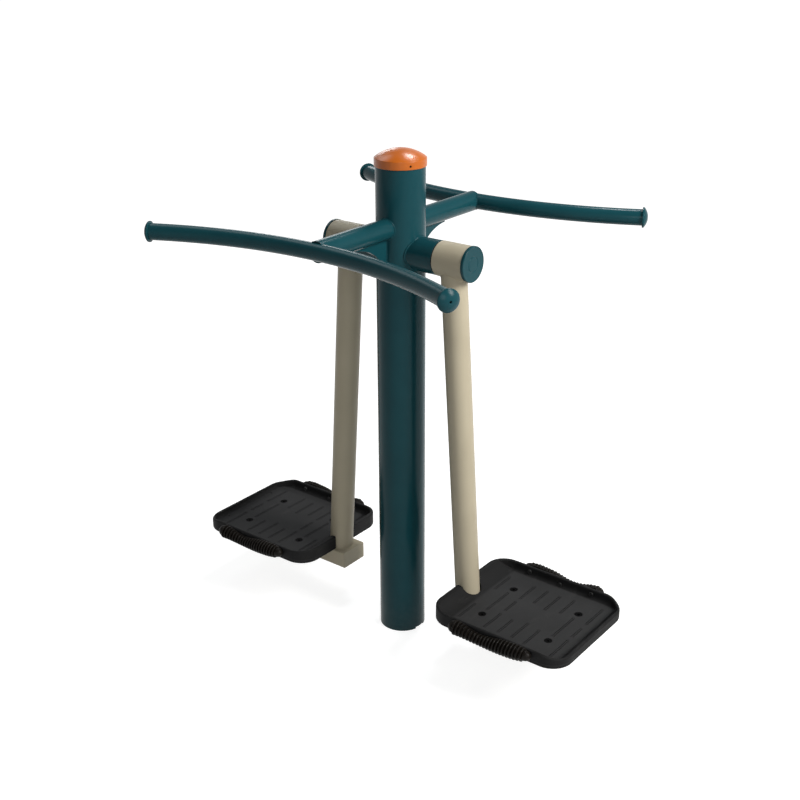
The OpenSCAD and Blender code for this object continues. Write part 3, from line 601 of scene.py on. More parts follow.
def bead(name, path, size, closed):
    # a run of weld with small ripples, along a path of points
    line = bpy.data.curves.new(name, "CURVE")
    line.dimensions = "3D"
    line.bevel_depth = size
    line.bevel_resolution = beadSteps
    line.use_fill_caps = True
    spline = line.splines.new("POLY")
    spline.points.add(len(path) - 1)
    for index, (point, place) in enumerate(zip(spline.points, path)):
        point.co = (*place, 1)
        point.radius = 1 if index % 2 else rippleShare
    spline.use_cyclic_u = closed
    makeActive(added(name, line))
    bpy.ops.object.convert(target="MESH")
    startEdit(bpy.context.object)
    faceOut()
    endEdit()
    return bpy.context.object


def ringPath(count, point):
    # the places that point gives for angles all the way round
    return [point(math.tau * index / count) for index in range(count)]


def linePath(start, end, step):
    # points along a straight line, about a step apart
    start, end = Vector(start), Vector(end)
    count = max(2, round((end - start).length / step))
    return [start.lerp(end, index / count) for index in range(count + 1)]


def dressed(piece, finishName, body, *nodes, angle=None):
    makeActive(piece)
    bpy.ops.object.shade_smooth_by_angle(angle=angle or smoothAngle)
    modify(piece, "WEIGHTED_NORMAL", keep_sharp=True, weight=normalWeight)
    piece.data.materials.clear()
    piece.data.materials.append(finish[finishName])
    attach(piece, body)
    if nodes:
        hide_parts(*nodes)
    return piece


def copied(piece, name, scale=(1, 1, 1)):
    twin = piece.copy()
    twin.data = piece.data.copy()
    twin.name = name
    twin.data.name = name
    bpy.context.scene.collection.objects.link(twin)
    return placed(twin, scale=scale)


def arcPoints(centre, radius, start, end, count):
    # points (across, up) on an arc, angles in degrees from the across direction
    angles = [math.radians(start + (end - start) * index / count) for index in range(count + 1)]
    return [(centre[0] + radius * math.cos(angle), centre[1] + radius * math.sin(angle)) for angle in angles]


# Post and cap

post = {
    "radius": 0.057, "wall": 0.003, "height": 1.198, "sides": 144, "edge": 0.0007,
    "notchWidth": 0.030, "notchHeight": 0.004,
    "clampHeights": (0.040, 0.110), "clampRadius": 0.0062, "clampSides": 32,
    "cutFrom": 0.5, "sunk": 0.0005,     # how far welded pieces reach into the post and the arms
}

cap = {
    "inside": 0.05705, "outside": 0.05955, "skirtBottom": 1.1825, "crease": 1.2005, "rise": 0.0205,
    "wall": 0.0025, "screwAngles": (-30, 90, 210), "screwRadius": 0.00255, "screwHeight": 1.1905,
    "steps": 128, "domeSteps": 22, "innerSteps": 14, "edge": 0.0010,
}


def makePost():
    bpy.ops.mesh.primitive_cylinder_add(vertices=post["sides"], radius=post["radius"], depth=post["height"],
                                        end_fill_type="NOTHING", location=(0, 0, post["height"] / 2))
    piece = thickened(placed(named("post"), bpy.context.object.location), post["wall"])
    reach = 2 * post["radius"]
    half = post["notchWidth"] / 2
    cutBy(piece, block("notch", (-reach, -half, -half), (reach, half, post["notchHeight"])))
    rounded(piece, post["edge"], 2, sharpAngle)
    for height in post["clampHeights"]:
        cutBy(piece, rod("clampHole", post["clampRadius"], (0, 0, height), (0, reach, height),
                         post["clampSides"]))
    return dressed(piece, "tealPaint", "frame", "main_post")


def postCutter():
    return rod("postShape", post["radius"] - post["sunk"], (0, 0, post["cutFrom"]), (0, 0, post["height"]),
               post["sides"])


def makeCap():
    domeRadius = (cap["outside"] ** 2 + cap["rise"] ** 2) / (2 * cap["rise"])
    domeHeight = cap["crease"] + cap["rise"] - domeRadius
    edge = math.degrees(math.acos(cap["outside"] / domeRadius))
    innerRadius = domeRadius - cap["wall"]
    ledge = post["radius"] - post["wall"]
    innerEdge = math.degrees(math.acos(ledge / innerRadius))
    outline = arcPoints((0, domeHeight), domeRadius, 90, edge, cap["domeSteps"])
    outline += [(cap["outside"], cap["skirtBottom"]), (cap["inside"], cap["skirtBottom"])]
    outline += [(cap["inside"], post["height"]), (ledge, post["height"])]
    outline += arcPoints((0, domeHeight), innerRadius, innerEdge, 90, cap["innerSteps"])
    piece = rounded(turned("post_cap_dome", outline, cap["steps"]), cap["edge"], 3)
    for angle in cap["screwAngles"]:
        out = Vector((math.cos(math.radians(angle)), math.sin(math.radians(angle)), 0))
        height = Vector((0, 0, cap["screwHeight"]))
        cutBy(piece, rod("screwHole", cap["screwRadius"], height + out * ledge,
                         height + out * 2 * post["radius"], holeSides))
    return dressed(piece, "orangePaint", "frame", "post_cap")


makePost()
makeCap()
print("post and cap made")

# Arms, gussets and handlebars

bar = {
    "height": 1.048, "reach": 0.286, "radius": 0.019, "wall": 0.0025, "bowRadius": 0.907,
    "span": 0.814, "sides": 64, "steps": 72,
}

arm = {
    "radius": 0.024, "wall": 0.003, "sides": 72, "edge": 0.0006, "cutFrom": 0.1, "cutTo": -0.5,
    "weld": 0.0023, "barWeld": 0.0019, "barWeldShare": 0.97, "barWeldSteps": 16,
}

gusset = {
    "thickness": 0.008, "length": 0.165, "arcRadius": 0.1235, "arcOut": 0.005, "tipHeight": 0.0035,
    "edge": 0.0008, "weld": 0.0019, "weldStep": 0.0022, "weldFoot": 0.001, "weldTip": 0.002,
    "arcSides": 256, "edgeAngle": 50, "cutHalf": 0.02,
}

endCap = {
    "radius": 0.02375, "flange": 0.004, "rise": 0.009, "plugLength": 0.022, "plugRadius": 0.0162,
    "plugWall": 0.003, "hole": 0.0025, "edge": 0.0009, "steps": 64, "domeSteps": 12,
}

arcY = -gusset["length"] - gusset["arcOut"]
arcHeight = bar["height"] - arm["radius"] - gusset["tipHeight"] - gusset["arcRadius"]

bowHalf = math.asin(bar["span"] / 2 / bar["bowRadius"])
bowCentre = Vector((0, -bar["reach"] - bar["bowRadius"], bar["height"]))
endAngle = quarter(1) - bowHalf
barEnd = bowCentre + Vector((math.cos(endAngle), math.sin(endAngle), 0)) * bar["bowRadius"]


def makeBow(name, radius, solid):
    # a tube bowed away from the post, spun about the bow's centre
    bpy.ops.mesh.primitive_circle_add(vertices=bar["sides"], radius=radius, fill_type="NOTHING")
    piece = placed(named(name), barEnd, (quarter(1), 0, endAngle))
    startEdit(piece)
    selectAll()
    bpy.ops.mesh.spin(steps=bar["steps"], angle=-2 * bowHalf, center=bowCentre, axis=(0, 0, 1))
    if solid:
        selectAll()
        bpy.ops.mesh.fill_holes(sides=0)
    faceOut()
    endEdit()
    return piece


def makeHandlebar():
    return thickened(makeBow("front_bar", bar["radius"], False), bar["wall"])


def makeArm():
    piece = rod("front_arm_tube", arm["radius"], (0, 0, bar["height"]), (0, -bar["reach"], bar["height"]),
                arm["sides"], True)
    thickened(piece, arm["wall"])
    rounded(piece, arm["edge"], 2, sharpAngle)
    postShape = rod("postShape", post["radius"], (0, 0, 0), (0, 0, post["height"]), post["sides"])
    return cutBy(piece, postShape, makeBow("barShape", bar["radius"], True))


def weldPath(radius, point):
    # points round a joint of this radius, an even number so that the ripples meet
    return ringPath(2 * round(math.tau * radius / gusset["weldStep"] / 2), point)


def armWelds():
    def atPost(angle):
        across = arm["radius"] * math.cos(angle)
        up = arm["radius"] * math.sin(angle)
        return across, -leg(post["radius"], across), bar["height"] + up

    def atBar(side):
        run = []
        for index in range(2 * arm["barWeldSteps"] + 1):
            up = bar["radius"] * arm["barWeldShare"] * (index / arm["barWeldSteps"] - 1)
            across = side * leg(arm["radius"], up)
            bowed = across ** 2 / 2 / bar["bowRadius"]
            y = leg(bar["radius"], up) - bar["reach"] - bowed
            run.append((across, y, bar["height"] + up))
        return run

    welds = [bead("front_arm_weld", weldPath(arm["radius"], atPost), arm["weld"], True)]
    welds += [bead("barWeld", atBar(side), arm["barWeld"], False) for side in (-1, 1)]
    return joined(welds)


def makeGusset():
    half, reach = gusset["thickness"] / 2, gusset["cutHalf"]
    piece = block("front_gusset_plate", (-half, -gusset["length"], arcHeight), (half, 0, bar["height"]))
    hollow = rod("hollow", gusset["arcRadius"], (-reach, arcY, arcHeight), (reach, arcY, arcHeight),
                 gusset["arcSides"])
    armShape = rod("armShape", arm["radius"] - post["sunk"], (0, arm["cutFrom"], bar["height"]),
                   (0, arm["cutTo"], bar["height"]), arm["sides"])
    cutBy(piece, hollow, postCutter(), armShape)
    return rounded(piece, gusset["edge"], 3, gusset["edgeAngle"])


def gussetWelds():
    half = gusset["thickness"] / 2
    onPost = -leg(post["radius"], half)
    foot = arcHeight + leg(gusset["arcRadius"], onPost - arcY)
    under = bar["height"] - leg(arm["radius"], half)
    welds = []
    for side in (-half, half):
        corner = (side, onPost, under)
        path = linePath((side, onPost, foot + gusset["weldFoot"]), corner, gusset["weldStep"])
        path += linePath(corner, (side, gusset["weldTip"] - gusset["length"], under), gusset["weldStep"])[1:]
        welds.append(bead("gussetWeld", path, gusset["weld"], False))
    piece = joined(welds)
    piece.name = "front_gusset_weld"
    return piece


def makeEndCap(name):
    # modelled about Z, then set on the right end of the front bar
    domeRadius = (endCap["radius"] ** 2 + endCap["rise"] ** 2) / (2 * endCap["rise"])
    domeHeight = endCap["flange"] + endCap["rise"] - domeRadius
    start = math.degrees(math.acos(endCap["radius"] / domeRadius))
    end = math.degrees(math.acos(endCap["hole"] / domeRadius))
    plug, depth = endCap["plugRadius"], -endCap["plugLength"]
    inner = plug - endCap["plugWall"]
    outline = [(endCap["hole"], -endCap["flange"]), (inner, -endCap["flange"]), (inner, depth)]
    outline += [(plug, depth), (plug, 0), (endCap["radius"], 0)]
    outline += arcPoints((0, domeHeight), domeRadius, start, end, endCap["domeSteps"])
    piece = rounded(turned(name, outline, endCap["steps"], True), endCap["edge"], 3)
    return placed(piece, barEnd, (quarter(1), 0, endAngle))


def makeEndCaps():
    right = makeEndCap("front_caps")
    return joined([right, copied(right, "leftCap", (-1, 1, 1))])


for made, node in (
    (makeArm(), "front_arm"), (armWelds(), None), (makeGusset(), "front_gusset"), (gussetWelds(), None),
    (makeHandlebar(), "front_handlebar"), (makeEndCaps(), "front_end_caps"),
):
    twin = copied(made, made.name.replace("front", "back"), (1, -1, 1))
    dressed(made, "tealPaint", "frame", *([node] if node else []))
    dressed(twin, "tealPaint", "frame", *([node.replace("front", "back")] if node else []))
print("arms, gussets and handlebars made")

# Hub

hub = {
    "height": 0.989, "stubRadius": 0.0395, "stubWall": 0.005, "stubStart": 0.030, "stubEnd": 0.1125,
    "stubPlate": 0.0095, "bossRadius": 0.0185, "bossEnd": 0.1213, "bore": 0.01505, "steps": 96,
    "edge": 0.0007, "weld": 0.0026,
}

housing = {
    "start": 0.115, "end": 0.194, "radius": 0.040, "shoulderEnd": 0.1213, "shoulderBore": 0.0235,
    "bore": 0.03105, "edge": 0.0009, "slotRadius": 0.0305, "slotHalf": 0.0033, "slotDepth": 0.0045,
    "slotSweep": 74, "slotSteps": 24, "slotOver": 0.005, "ringStart": 0.1733,
    "ringEnd": 0.17535, "ringRadius": 0.0325,
}

hubCap = {
    "radius": 0.041, "thickness": 0.0075, "face": 0.004, "chamfer": 0.0012, "rim": 0.0016, "step": 0.0006,
    "ring": 0.0175, "ringWidth": 0.0016, "ringDepth": 0.0010, "spigot": 0.031, "spigotWall": 0.003,
    "spigotLength": 0.008, "edge": 0.0004, "edgeAngle": 25, "smoothAngle": 20,
}

onHub = (0, 0, hub["height"])
alongX = (0, quarter(1), 0)


def makeStub():
    radius, boss, bore = hub["stubRadius"], hub["bossRadius"], hub["bore"]
    start, end, bossEnd = hub["stubStart"], hub["stubEnd"], hub["bossEnd"]
    inner = radius - hub["stubWall"]
    plateStart = end - hub["stubPlate"]
    outline = [(radius, start), (radius, end), (boss, end), (boss, bossEnd), (bore, bossEnd)]
    outline += [(bore, plateStart), (inner, plateStart), (inner, start)]
    piece = rounded(turned("right_stub", outline, hub["steps"], True), hub["edge"], 3)
    return cutBy(placed(piece, onHub, alongX), postCutter())


def stubWeld():
    def atPost(angle):
        across = hub["stubRadius"] * math.cos(angle)
        up = hub["stubRadius"] * math.sin(angle)
        return leg(post["radius"], across), across, hub["height"] + up

    return bead("right_stub_weld", weldPath(hub["stubRadius"], atPost), hub["weld"], True)


def makeHousing():
    start, end, radius, bore = housing["start"], housing["end"], housing["radius"], housing["bore"]
    ring, ringStart, ringEnd = housing["ringRadius"], housing["ringStart"], housing["ringEnd"]
    shoulder, shoulderEnd = housing["shoulderBore"], housing["shoulderEnd"]
    outline = [(radius, start), (radius, end), (bore, end), (bore, ringEnd), (ring, ringEnd)]
    outline += [(ring, ringStart), (bore, ringStart), (bore, shoulderEnd), (shoulder, shoulderEnd)]
    outline += [(shoulder, start)]
    piece = turned("right_housing", outline, hub["steps"], True)
    rounded(piece, housing["edge"], 3, sharpAngle)
    near, far = housing["slotRadius"] - housing["slotHalf"], housing["slotRadius"] + housing["slotHalf"]
    low, high = start - housing["slotOver"], start + housing["slotDepth"]
    slot = turned("stopSlot", [(near, low), (far, low), (far, high), (near, high)], housing["slotSteps"],
                  True, housing["slotSweep"], 180 - housing["slotSweep"] / 2)
    return placed(cutBy(piece, slot), onHub, alongX)


def makeHubCap():
    radius, chamfer, step = hubCap["radius"], hubCap["chamfer"], hubCap["step"]
    ring, width, spigot = hubCap["ring"], hubCap["ringWidth"], hubCap["spigot"]
    back = housing["end"]
    front = back + hubCap["thickness"]
    plane, inside, end = front - step, front - hubCap["face"], back - hubCap["spigotLength"]
    rim, inner = radius - chamfer - hubCap["rim"], spigot - hubCap["spigotWall"]
    outline = [(0, plane), (ring - width, plane), (ring, plane - hubCap["ringDepth"]), (ring + width, plane)]
    outline += [(rim - step, plane), (rim, front), (radius - chamfer, front), (radius, front - chamfer)]
    outline += [(radius, back), (spigot, back), (spigot, end), (inner, end), (inner, inside), (0, inside)]
    piece = turned("right_cap_disc", outline, hub["steps"])
    rounded(piece, hubCap["edge"], 2, hubCap["edgeAngle"])
    return placed(piece, onHub, alongX)


def leftName(name):
    return name.replace("right", "left")


def bothSides(piece, finishName, body, *nodes, angle=None):
    # dresses a right-hand piece and its mirrored left-hand copy
    twin = copied(piece, leftName(piece.name), (-1, 1, 1))
    dressed(piece, finishName, body, *nodes, angle=angle)
    dressed(twin, finishName, leftName(body), *[leftName(node) for node in nodes], angle=angle)


bothSides(makeStub(), "tealPaint", "frame", "right_hub_stub")
bothSides(stubWeld(), "tealPaint", "frame")
bothSides(makeHousing(), "beigePaint", "right_pendulum", "right_bearing_housing")
bothSides(makeHubCap(), "tealPaint", "right_pendulum", "right_hub_cap",
          angle=math.radians(hubCap["smoothAngle"]))
print("hubs made")

# Pendulum tube and foot beam

tube = {
    "radius": 0.030, "wall": 0.003, "topX": 0.1477, "footX": 0.203, "sides": 96,
    "topWeld": 0.0015, "footWeld": 0.0019, "overrun": 1.05, "cutFrom": 0.05, "cutTo": 0.3,
}

beam = {
    "start": 0.161, "end": 0.520, "width": 0.080, "top": 0.155, "height": 0.044, "wall": 0.004,
    "edge": 0.003, "edgeSteps": 4, "plate": 0.003, "plateEdge": 0.0008, "cutHalf": 0.1, "cutTo": 0.4,
}


def makeTube():
    run = Vector((tube["footX"] - tube["topX"], 0, beam["top"] - hub["height"]))
    top = Vector((tube["topX"], 0, hub["height"]))
    piece = rod("right_tube", tube["radius"], top, top + run * tube["overrun"], tube["sides"], True)
    thickened(piece, tube["wall"])
    housingShape = rod("housingShape", housing["radius"], (tube["cutFrom"], 0, hub["height"]),
                       (tube["cutTo"], 0, hub["height"]), hub["steps"])
    below = block("below", (0, -beam["cutHalf"], 0), (beam["cutTo"], beam["cutHalf"], beam["top"]))
    return cutBy(piece, housingShape, below)


def tubeWelds():
    tilt = math.atan((tube["footX"] - tube["topX"]) / (hub["height"] - beam["top"]))

    def atHousing(angle):
        across = tube["radius"] * math.cos(angle)
        side = tube["radius"] * math.sin(angle)
        drop = leg(housing["radius"], side)
        run = (drop + across * math.sin(tilt)) / math.cos(tilt)
        return tube["topX"] + across * math.cos(tilt) + run * math.sin(tilt), side, hub["height"] - drop

    def atBeam(angle):
        across = tube["radius"] / math.cos(tilt)
        return tube["footX"] + across * math.cos(angle), tube["radius"] * math.sin(angle), beam["top"]

    top = bead("right_tube_weld", weldPath(tube["radius"], atHousing), tube["topWeld"], True)
    return joined([top, bead("footWeld", weldPath(tube["radius"], atBeam), tube["footWeld"], True)])


def makeBeam():
    half = beam["width"] / 2
    low = (beam["start"] + beam["plate"], -half, beam["top"] - beam["height"])
    high = (beam["end"] - beam["plate"], half, beam["top"])
    piece = block("right_beam", low, high)
    startEdit(piece)
    pick("FACE", lambda face: abs(face.normal.x) > facing)
    bpy.ops.mesh.delete(type="FACE")
    pick("EDGE", lengthwise)
    bevelPicked(beam["edge"], beam["edgeSteps"])
    endEdit()
    return thickened(piece, beam["wall"])


def makeBeamPlates():
    half = beam["width"] / 2
    plates = []
    for start in (beam["start"], beam["end"] - beam["plate"]):
        low = (start, -half, beam["top"] - beam["height"])
        high = (start + beam["plate"], half, beam["top"])
        piece = roundedBlock("right_beam_plates", low, high, beam["edge"], beam["edgeSteps"], lengthwise)
        plates.append(rounded(piece, beam["plateEdge"], 2, sharpAngle))
    return joined(plates)


bothSides(makeTube(), "beigePaint", "right_pendulum", "right_pendulum_tube")
bothSides(tubeWelds(), "beigePaint", "right_pendulum")
bothSides(makeBeam(), "beigePaint", "right_pendulum", "right_foot_beam")
bothSides(makeBeamPlates(), "beigePaint", "right_pendulum", "right_beam_end_plates")
print("pendulum tubes and beams made")

# Footplate

plate = {
    "inner": 0.1945, "length": 0.362, "width": 0.313, "corner": 0.053, "bottom": 0.155, "floor": 0.1645,
    "innerRim": 0.028, "sideRim": 0.0245, "outerRim": 0.015, "rim": 0.008,
    "rampRadius": 0.050, "fillet": 0.010, "rimEdge": 0.0036, "notchGap": 0.003,
    "cornerSteps": 18, "wellSteps": 14, "rampSteps": 22, "filletSteps": 8, "rimSteps": 6,
    "over": 0.005, "spare": 0.01, "cutReach": 0.1, "wellHeight": 0.08,
    "notchFrom": 0.1, "notchTo": 0.3, "notchSides": 64, "mouthFrom": 0.12,
    "drain": 0.0025, "drainX": 0.5373, "drainY": 0.0845, "drainRun": 0.05,
    "boltX": 0.383, "boltPitchX": 0.182, "boltPitchY": 0.137, "boltHole": 0.0053, "boltSteps": 40,
    "counterbore": 0.010, "counterboreDepth": 0.006,
    "guardBoltPitch": 0.087, "guardBolt": 0.00305, "guardBoltRun": 0.02, "spot": 0.0058,
}

# Where the rim's top slopes, as shares of the plate's length from its middle
slope = {"start": 0.48, "run": 0.14, "innerStart": 0.37, "steps": 8}

groove = {
    "width": 0.0068, "depth": 0.0003, "line": 0.0014, "lineDepth": 0.0026, "pitch": 0.036566,
    "shift": -3.33, "over": 0.003, "roundShare": 0.98, "roundSteps": 5,
}

pocket = {
    "depth": 0.0045, "bottom": 0.14, "rib": 0.005, "edge": 0.002, "edgeSteps": 3, "count": 5,
    "startShare": 0.36, "endShare": 0.38, "near": 0.097,
    "middleHalf": 0.066, "middleNear": 0.045, "middleFar": 0.092,
}

rimOver = 0.012     # how far over the floor an edge has to be to count as the rim's
steepWall = 0.6     # the most that the normal of a steep wall points up or down

# Start and end of the grooves in each row, as shares of half the plate's width
grooveRows = [
    [(0.27, 0.71)], [(-0.30, 0.30)], [(0.26, 0.71), (-0.15, 0.15)], [(0.30, 0.70)],
    [(0.23, 0.69)], [(0.29, 0.73)], [(-0.30, 0.30)], [(0.26, 0.76), (-0.15, 0.13)],
]

plateX = plate["inner"] + plate["length"] / 2
guardAxis = {
    "y": 0.1645, "height": 0.1710, "sag": 0.006, "bowHalf": 0.097, "length": 0.222, "endRadius": 0.0150,
    "waistX": -0.030, "waistHalf": 0.074, "waistDrop": 0.0095,
}
guardHalf = guardAxis["length"] / 2 - guardAxis["endRadius"]
guardBow = (guardAxis["bowHalf"] ** 2 + guardAxis["sag"] ** 2) / (2 * guardAxis["sag"])


def guardHeight(along):
    return guardAxis["height"] + guardBow - leg(guardBow, along)


def guardDip(along):
    # how much the guard's radius shrinks towards its waist
    reach = abs(along - guardAxis["waistX"]) / guardAxis["waistHalf"]
    return guardAxis["waistDrop"] * (1 + math.cos(math.pi * min(1, reach))) / 4


def plateProfile():
    # outline of the plate seen from its side, a prism as wide as the plate
    length, floor = plate["length"], plate["floor"]
    half = length / 2 + plate["over"]
    points = [(-half, plate["bottom"]), (half, plate["bottom"]), (half, floor + plate["outerRim"])]
    for index in range(slope["steps"] + 1):
        share = index / slope["steps"]
        rise = plate["outerRim"] + (plate["sideRim"] - plate["outerRim"]) * eased(share)
        points.append((length * (slope["start"] - slope["run"] * share), floor + rise))
    points += [(-slope["innerStart"] * length, floor + plate["sideRim"]), (-half, floor + plate["innerRim"])]
    outline = [(plateX + across, -plate["width"], up) for across, up in points]
    return prism("plateProfile", outline, (0, 2 * plate["width"], 0))


def plateCavity():
    rim, floor = plate["rim"], plate["floor"]
    low = Vector((plate["inner"] + rim, rim - plate["width"] / 2, floor))
    outer = plate["inner"] + plate["length"]
    high = Vector((outer - rim, plate["width"] / 2 - rim, floor + plate["wellHeight"]))
    wide = Vector((0, plate["cutReach"], 0))
    long = Vector((plate["cutReach"], 0, 0))

    def lowEnd(edge, end):
        return lowEdge(edge, floor) and all(abs(vertex.co.x - end) < touch for vertex in edge.verts)

    well = roundedBlock("plateWell", low, high, plate["corner"] - rim, plate["wellSteps"])
    ends = block("endsShape", low - wide, high + wide)
    startEdit(ends)
    for end, radius, steps in (
        (low.x, plate["rampRadius"], plate["rampSteps"]), (high.x, plate["fillet"], plate["filletSteps"]),
    ):
        pick("EDGE", lambda edge: lowEnd(edge, end))
        bevelPicked(radius, steps)
    endEdit()
    sides = block("sidesShape", low - long, high + long)
    startEdit(sides)
    pick("EDGE", lambda edge: lowEdge(edge, floor) and lengthwise(edge))
    bevelPicked(plate["fillet"], plate["filletSteps"])
    endEdit()
    return keptIn(well, ends, sides)


def grooveCutters(lines):
    # shallow slots, or the deeper lines along both edges of each slot
    cutters = []
    floor, line, half = plate["floor"], groove["line"], groove["width"] / 2
    top = floor + groove["over"]
    for row, shares in enumerate(grooveRows):
        across = plateX + (row + groove["shift"]) * groove["pitch"]
        for start, end in shares + [(-end, -start) for start, end in shares if start > 0]:
            first, last = start * plate["width"] / 2, end * plate["width"] / 2
            if lines:
                for edge in (across - half + line / 4, across + half - line * 5 / 4):
                    corner = (edge, first, floor - groove["lineDepth"])
                    cutters.append(block("grooveLine", corner, (edge + line, last, top)))
            else:
                low = (across - half, first - half, floor - groove["depth"])
                high = (across + half, last + half, top)
                cutters.append(roundedBlock("groove", low, high, half * groove["roundShare"],
                                            groove["roundSteps"]))
    return joined(cutters)


def boltCutters():
    cutters = []
    hole, bore = plate["boltHole"], plate["counterbore"]
    under, top = plate["bottom"] - plate["spare"], plate["floor"] + plate["over"]
    head = plate["floor"] - plate["counterboreDepth"]
    outline = [(0, under), (hole, under), (hole, head), (bore, head), (bore, top), (0, top)]
    for x in (-1, 1):
        for y in (-1, 1):
            place = (plate["boltX"] + x * plate["boltPitchX"] / 2, y * plate["boltPitchY"] / 2, 0)
            cutters.append(placed(turned("boltHole", outline, plate["boltSteps"]), place))
    for side in (-1, 1):
        foot = Vector((plate["drainX"], side * plate["drainY"], under))
        top = foot + Vector((0, 0, plate["drainRun"]))
        cutters.append(rod("drain", plate["drain"], foot, top, holeSides))
    return joined(cutters)


def guardBoltPlaces():
    # where the three bolts of each guard stand, as (x, height)
    steps = [step * plate["guardBoltPitch"] for step in (-1, 0, 1)]
    return [(plateX + step, guardHeight(step)) for step in steps]


def guardBoltCutters():
    cutters = []
    spot, bolt, run = plate["spot"], plate["guardBolt"], plate["guardBoltRun"]
    outline = [(0, -run), (spot, -run), (spot, 0), (bolt, 0), (bolt, run), (0, run)]
    for side in (-1, 1):
        inner = side * (plate["width"] / 2 - plate["rim"])
        for x, height in guardBoltPlaces():
            piece = turned("guardHole", outline, holeSides)
            cutters.append(placed(piece, (x, inner, height), (-side * quarter(1), 0, 0)))
    return joined(cutters)


def pocketCutters():
    cutters = []
    bottom, top = pocket["bottom"], plate["bottom"] + pocket["depth"]
    first = plateX - plate["length"] * pocket["startShare"]
    last = plateX + plate["length"] * pocket["endShare"]
    far = plate["width"] / 2 - plate["rim"] - pocket["rib"]
    step = (last - first + pocket["rib"]) / pocket["count"]
    starts = [first + index * step for index in range(pocket["count"])]
    spans = [(start, start + step - pocket["rib"], pocket["near"], far) for start in starts]
    left, right = plate["boltX"] - pocket["middleHalf"], plate["boltX"] + pocket["middleHalf"]
    spans.append((left, right, pocket["middleNear"], pocket["middleFar"]))
    for start, end, inner, outer in spans:
        for side in (-1, 1):
            low, high = sorted((side * inner, side * outer))
            cutters.append(roundedBlock("pocket", (start, low, bottom), (end, high, top),
                                        pocket["edge"], pocket["edgeSteps"]))
    return joined(cutters)


def isRimEdge(edge):
    # an edge between the rim's top, or the underside, and a steep wall
    heights = [vertex.co.z for vertex in edge.verts]
    steepest, flattest = sorted(abs(face.normal.z) for face in edge.link_faces)
    atRim = min(heights) > plate["floor"] + rimOver or max(heights) < plate["bottom"] + hair
    return atRim and steepest < steepWall and flattest > facing


def makePlate():
    half = plate["width"] / 2
    low = (plate["inner"], -half, plate["bottom"])
    high = (plate["inner"] + plate["length"], half, plate["floor"] + plate["innerRim"] + plate["spare"])
    piece = roundedBlock("right_tray", low, high, plate["corner"], plate["cornerSteps"])
    keptIn(piece, plateProfile())
    cutBy(piece, plateCavity())
    startEdit(piece)
    pick("EDGE", isRimEdge)
    bevelPicked(plate["rimEdge"], plate["rimSteps"], clamp_overlap=False)
    endEdit()
    radius, start, end = tube["radius"] + plate["notchGap"], plate["notchFrom"], plate["notchTo"]
    notch = rod("notch", radius, (tube["footX"], 0, start), (tube["footX"], 0, end), plate["notchSides"])
    mouth = block("mouth", (plate["mouthFrom"], -radius, start), (tube["footX"], radius, end))
    cutBy(piece, notch, mouth, boltCutters(), guardBoltCutters(), pocketCutters())
    return cutBy(piece, grooveCutters(False), grooveCutters(True))


bothSides(makePlate(), "trayPlastic", "right_pendulum", "right_footplate")
print("footplates made")

# Ribbed guards

guard = {
    "ribRadius": 0.0182, "coreRadius": 0.0124, "ribs": 21, "pitch": 0.0091, "ribWidth": 0.0036,
    "ribRound": 0.0008, "steps": 64, "gap": 0.0001, "insert": 0.00505, "insertDepth": 0.0131,
    "spineFrom": 0.0030, "spineSoft": 0.0012, "spineDrop": 0.0002, "ribMargin": 0.0015,
    "endFrom": 0.068, "endMargin": 0.0016, "endSteps": 9, "insertOver": 0.01,
    "endShapes": {-1: (0, 0.0026), 1: (0.0026, 0.0012)},  # shrink and drop at each end
}


def guardEnd(along):
    # how much smaller and lower the guard gets towards an end
    reach = max(0, min(1, (abs(along) - guard["endFrom"]) / (guardHalf - guard["endFrom"])))
    shrink, drop = guard["endShapes"][1 if along > 0 else -1]
    return shrink * eased(reach), drop * eased(reach)


def guardOutline():
    rib, core = guard["ribRadius"], guard["coreRadius"]
    half, soft = guard["ribWidth"] / 2, guard["ribRound"]
    end = guardAxis["endRadius"]
    outline = arcPoints((0, -guardHalf), end, -90, 0, guard["endSteps"])
    ribs = []
    for index in range(guard["ribs"]):
        at = (index - (guard["ribs"] - 1) / 2) * guard["pitch"]
        ribs += [(core, at - half - soft), (rib - soft, at - half), (rib, at - half + soft)]
        ribs += [(rib, at + half - soft), (rib - soft, at + half), (core, at + half + soft)]
    outline += [(radius, along) for radius, along in ribs if abs(along) < guardHalf - guard["ribMargin"]]
    return outline + arcPoints((0, guardHalf), end, 0, 90, guard["endSteps"])


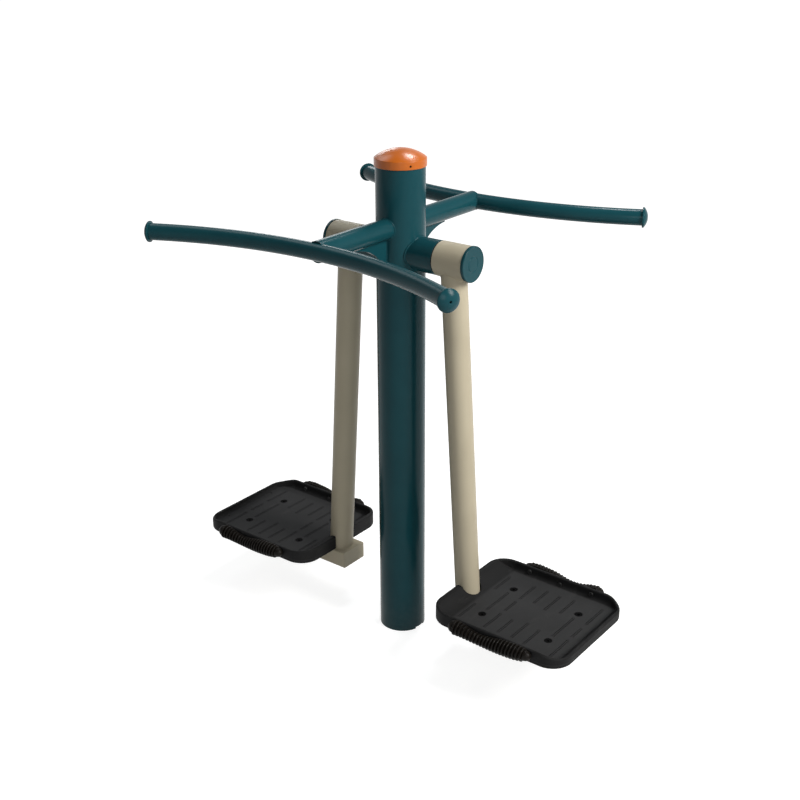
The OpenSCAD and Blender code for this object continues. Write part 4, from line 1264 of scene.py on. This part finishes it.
def makeGuard():
    # ribs and core round the guard's axis, with a smooth spine along the tray's wall
    piece = turned("right_front_grip", guardOutline(), guard["steps"])
    placed(piece, (0, 0, 0), alongX)
    spine = guard["ribRadius"] - guard["spineDrop"]
    for vertex in piece.data.vertices:
        at = vertex.co
        along = max(-guardHalf, min(guardHalf, at.x))
        radius = math.hypot(at.y, at.z)
        shrink, drop = guardEnd(along)
        scale = 1 - shrink / guardAxis["endRadius"]
        if radius > hair and abs(at.x) < guardHalf - guard["endMargin"]:
            share = max(0, min(1, (at.y - guard["spineFrom"]) / guard["spineSoft"]))
            wanted = radius + max(0, spine - radius) * share
            scale = (wanted - guardDip(along) - shrink) / radius
        at.y, at.z = at.y * scale, at.z * scale
        at.z += guardHeight(along) - guardAxis["height"] - guardDip(along) - drop
    placed(piece, (plateX, -guardAxis["y"], guardAxis["height"]))
    wall = -plate["width"] / 2
    startEdit(piece)
    selectAll()
    bpy.ops.mesh.bisect(plane_co=(0, wall - guard["gap"], 0), plane_no=(0, 1, 0),
                        use_fill=True, clear_outer=True)
    faceOut()
    endEdit()
    start, end = wall + guard["insertOver"], wall - guard["insertDepth"]
    for x, height in guardBoltPlaces():
        cutBy(piece, rod("insertHole", guard["insert"], (x, start, height), (x, end, height), holeSides))
    return piece


rightFront = makeGuard()
leftFront = placed(copied(rightFront, "left_front_grip"), (-2 * plateX, 0, 0))
leftBack = copied(rightFront, "left_back_grip", (-1, -1, 1))
rightBack = copied(leftFront, "right_back_grip", (-1, -1, 1))
for grip in (rightFront, leftFront, leftBack, rightBack):
    side = grip.name.split("_")[0]
    dressed(grip, "guardRubber", side + "_pendulum", grip.name.replace("grip", "guard"))
print("guards made")

# CAD parts that stay as they are

keptFinish = {
    "foot_sleeve": "zincPlate", "clamp_screws": "zincPlate", "post_cap_screws": "blackSteel",
    "end_cap_screws": "blackSteel", "pivot_axle": "groundSteel", "axle_washers": "zincPlate",
    "axle_nuts": "zincPlate", "stop_pin": "groundSteel", "seal_ring": "sealRubber",
    "inner_rings": "groundSteel", "bearing_balls": "groundSteel", "spacer_sleeve": "groundSteel",
    "outer_rings": "groundSteel", "retaining_ring": "groundSteel", "cross_brackets": "beigePaint",
    "guard_bolts": "dullZinc", "guard_inserts": "brass", "footplate_bolts": "blackSteel",
    "footplate_nuts": "zincPlate",
}

for nodeName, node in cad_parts.items():
    plainName = nodeName.replace("right_", "").replace("left_", "")
    if plainName in keptFinish:
        node.data.materials.clear()
        node.data.materials.append(finish[keptFinish[plainName]])
print("CAD parts finished")
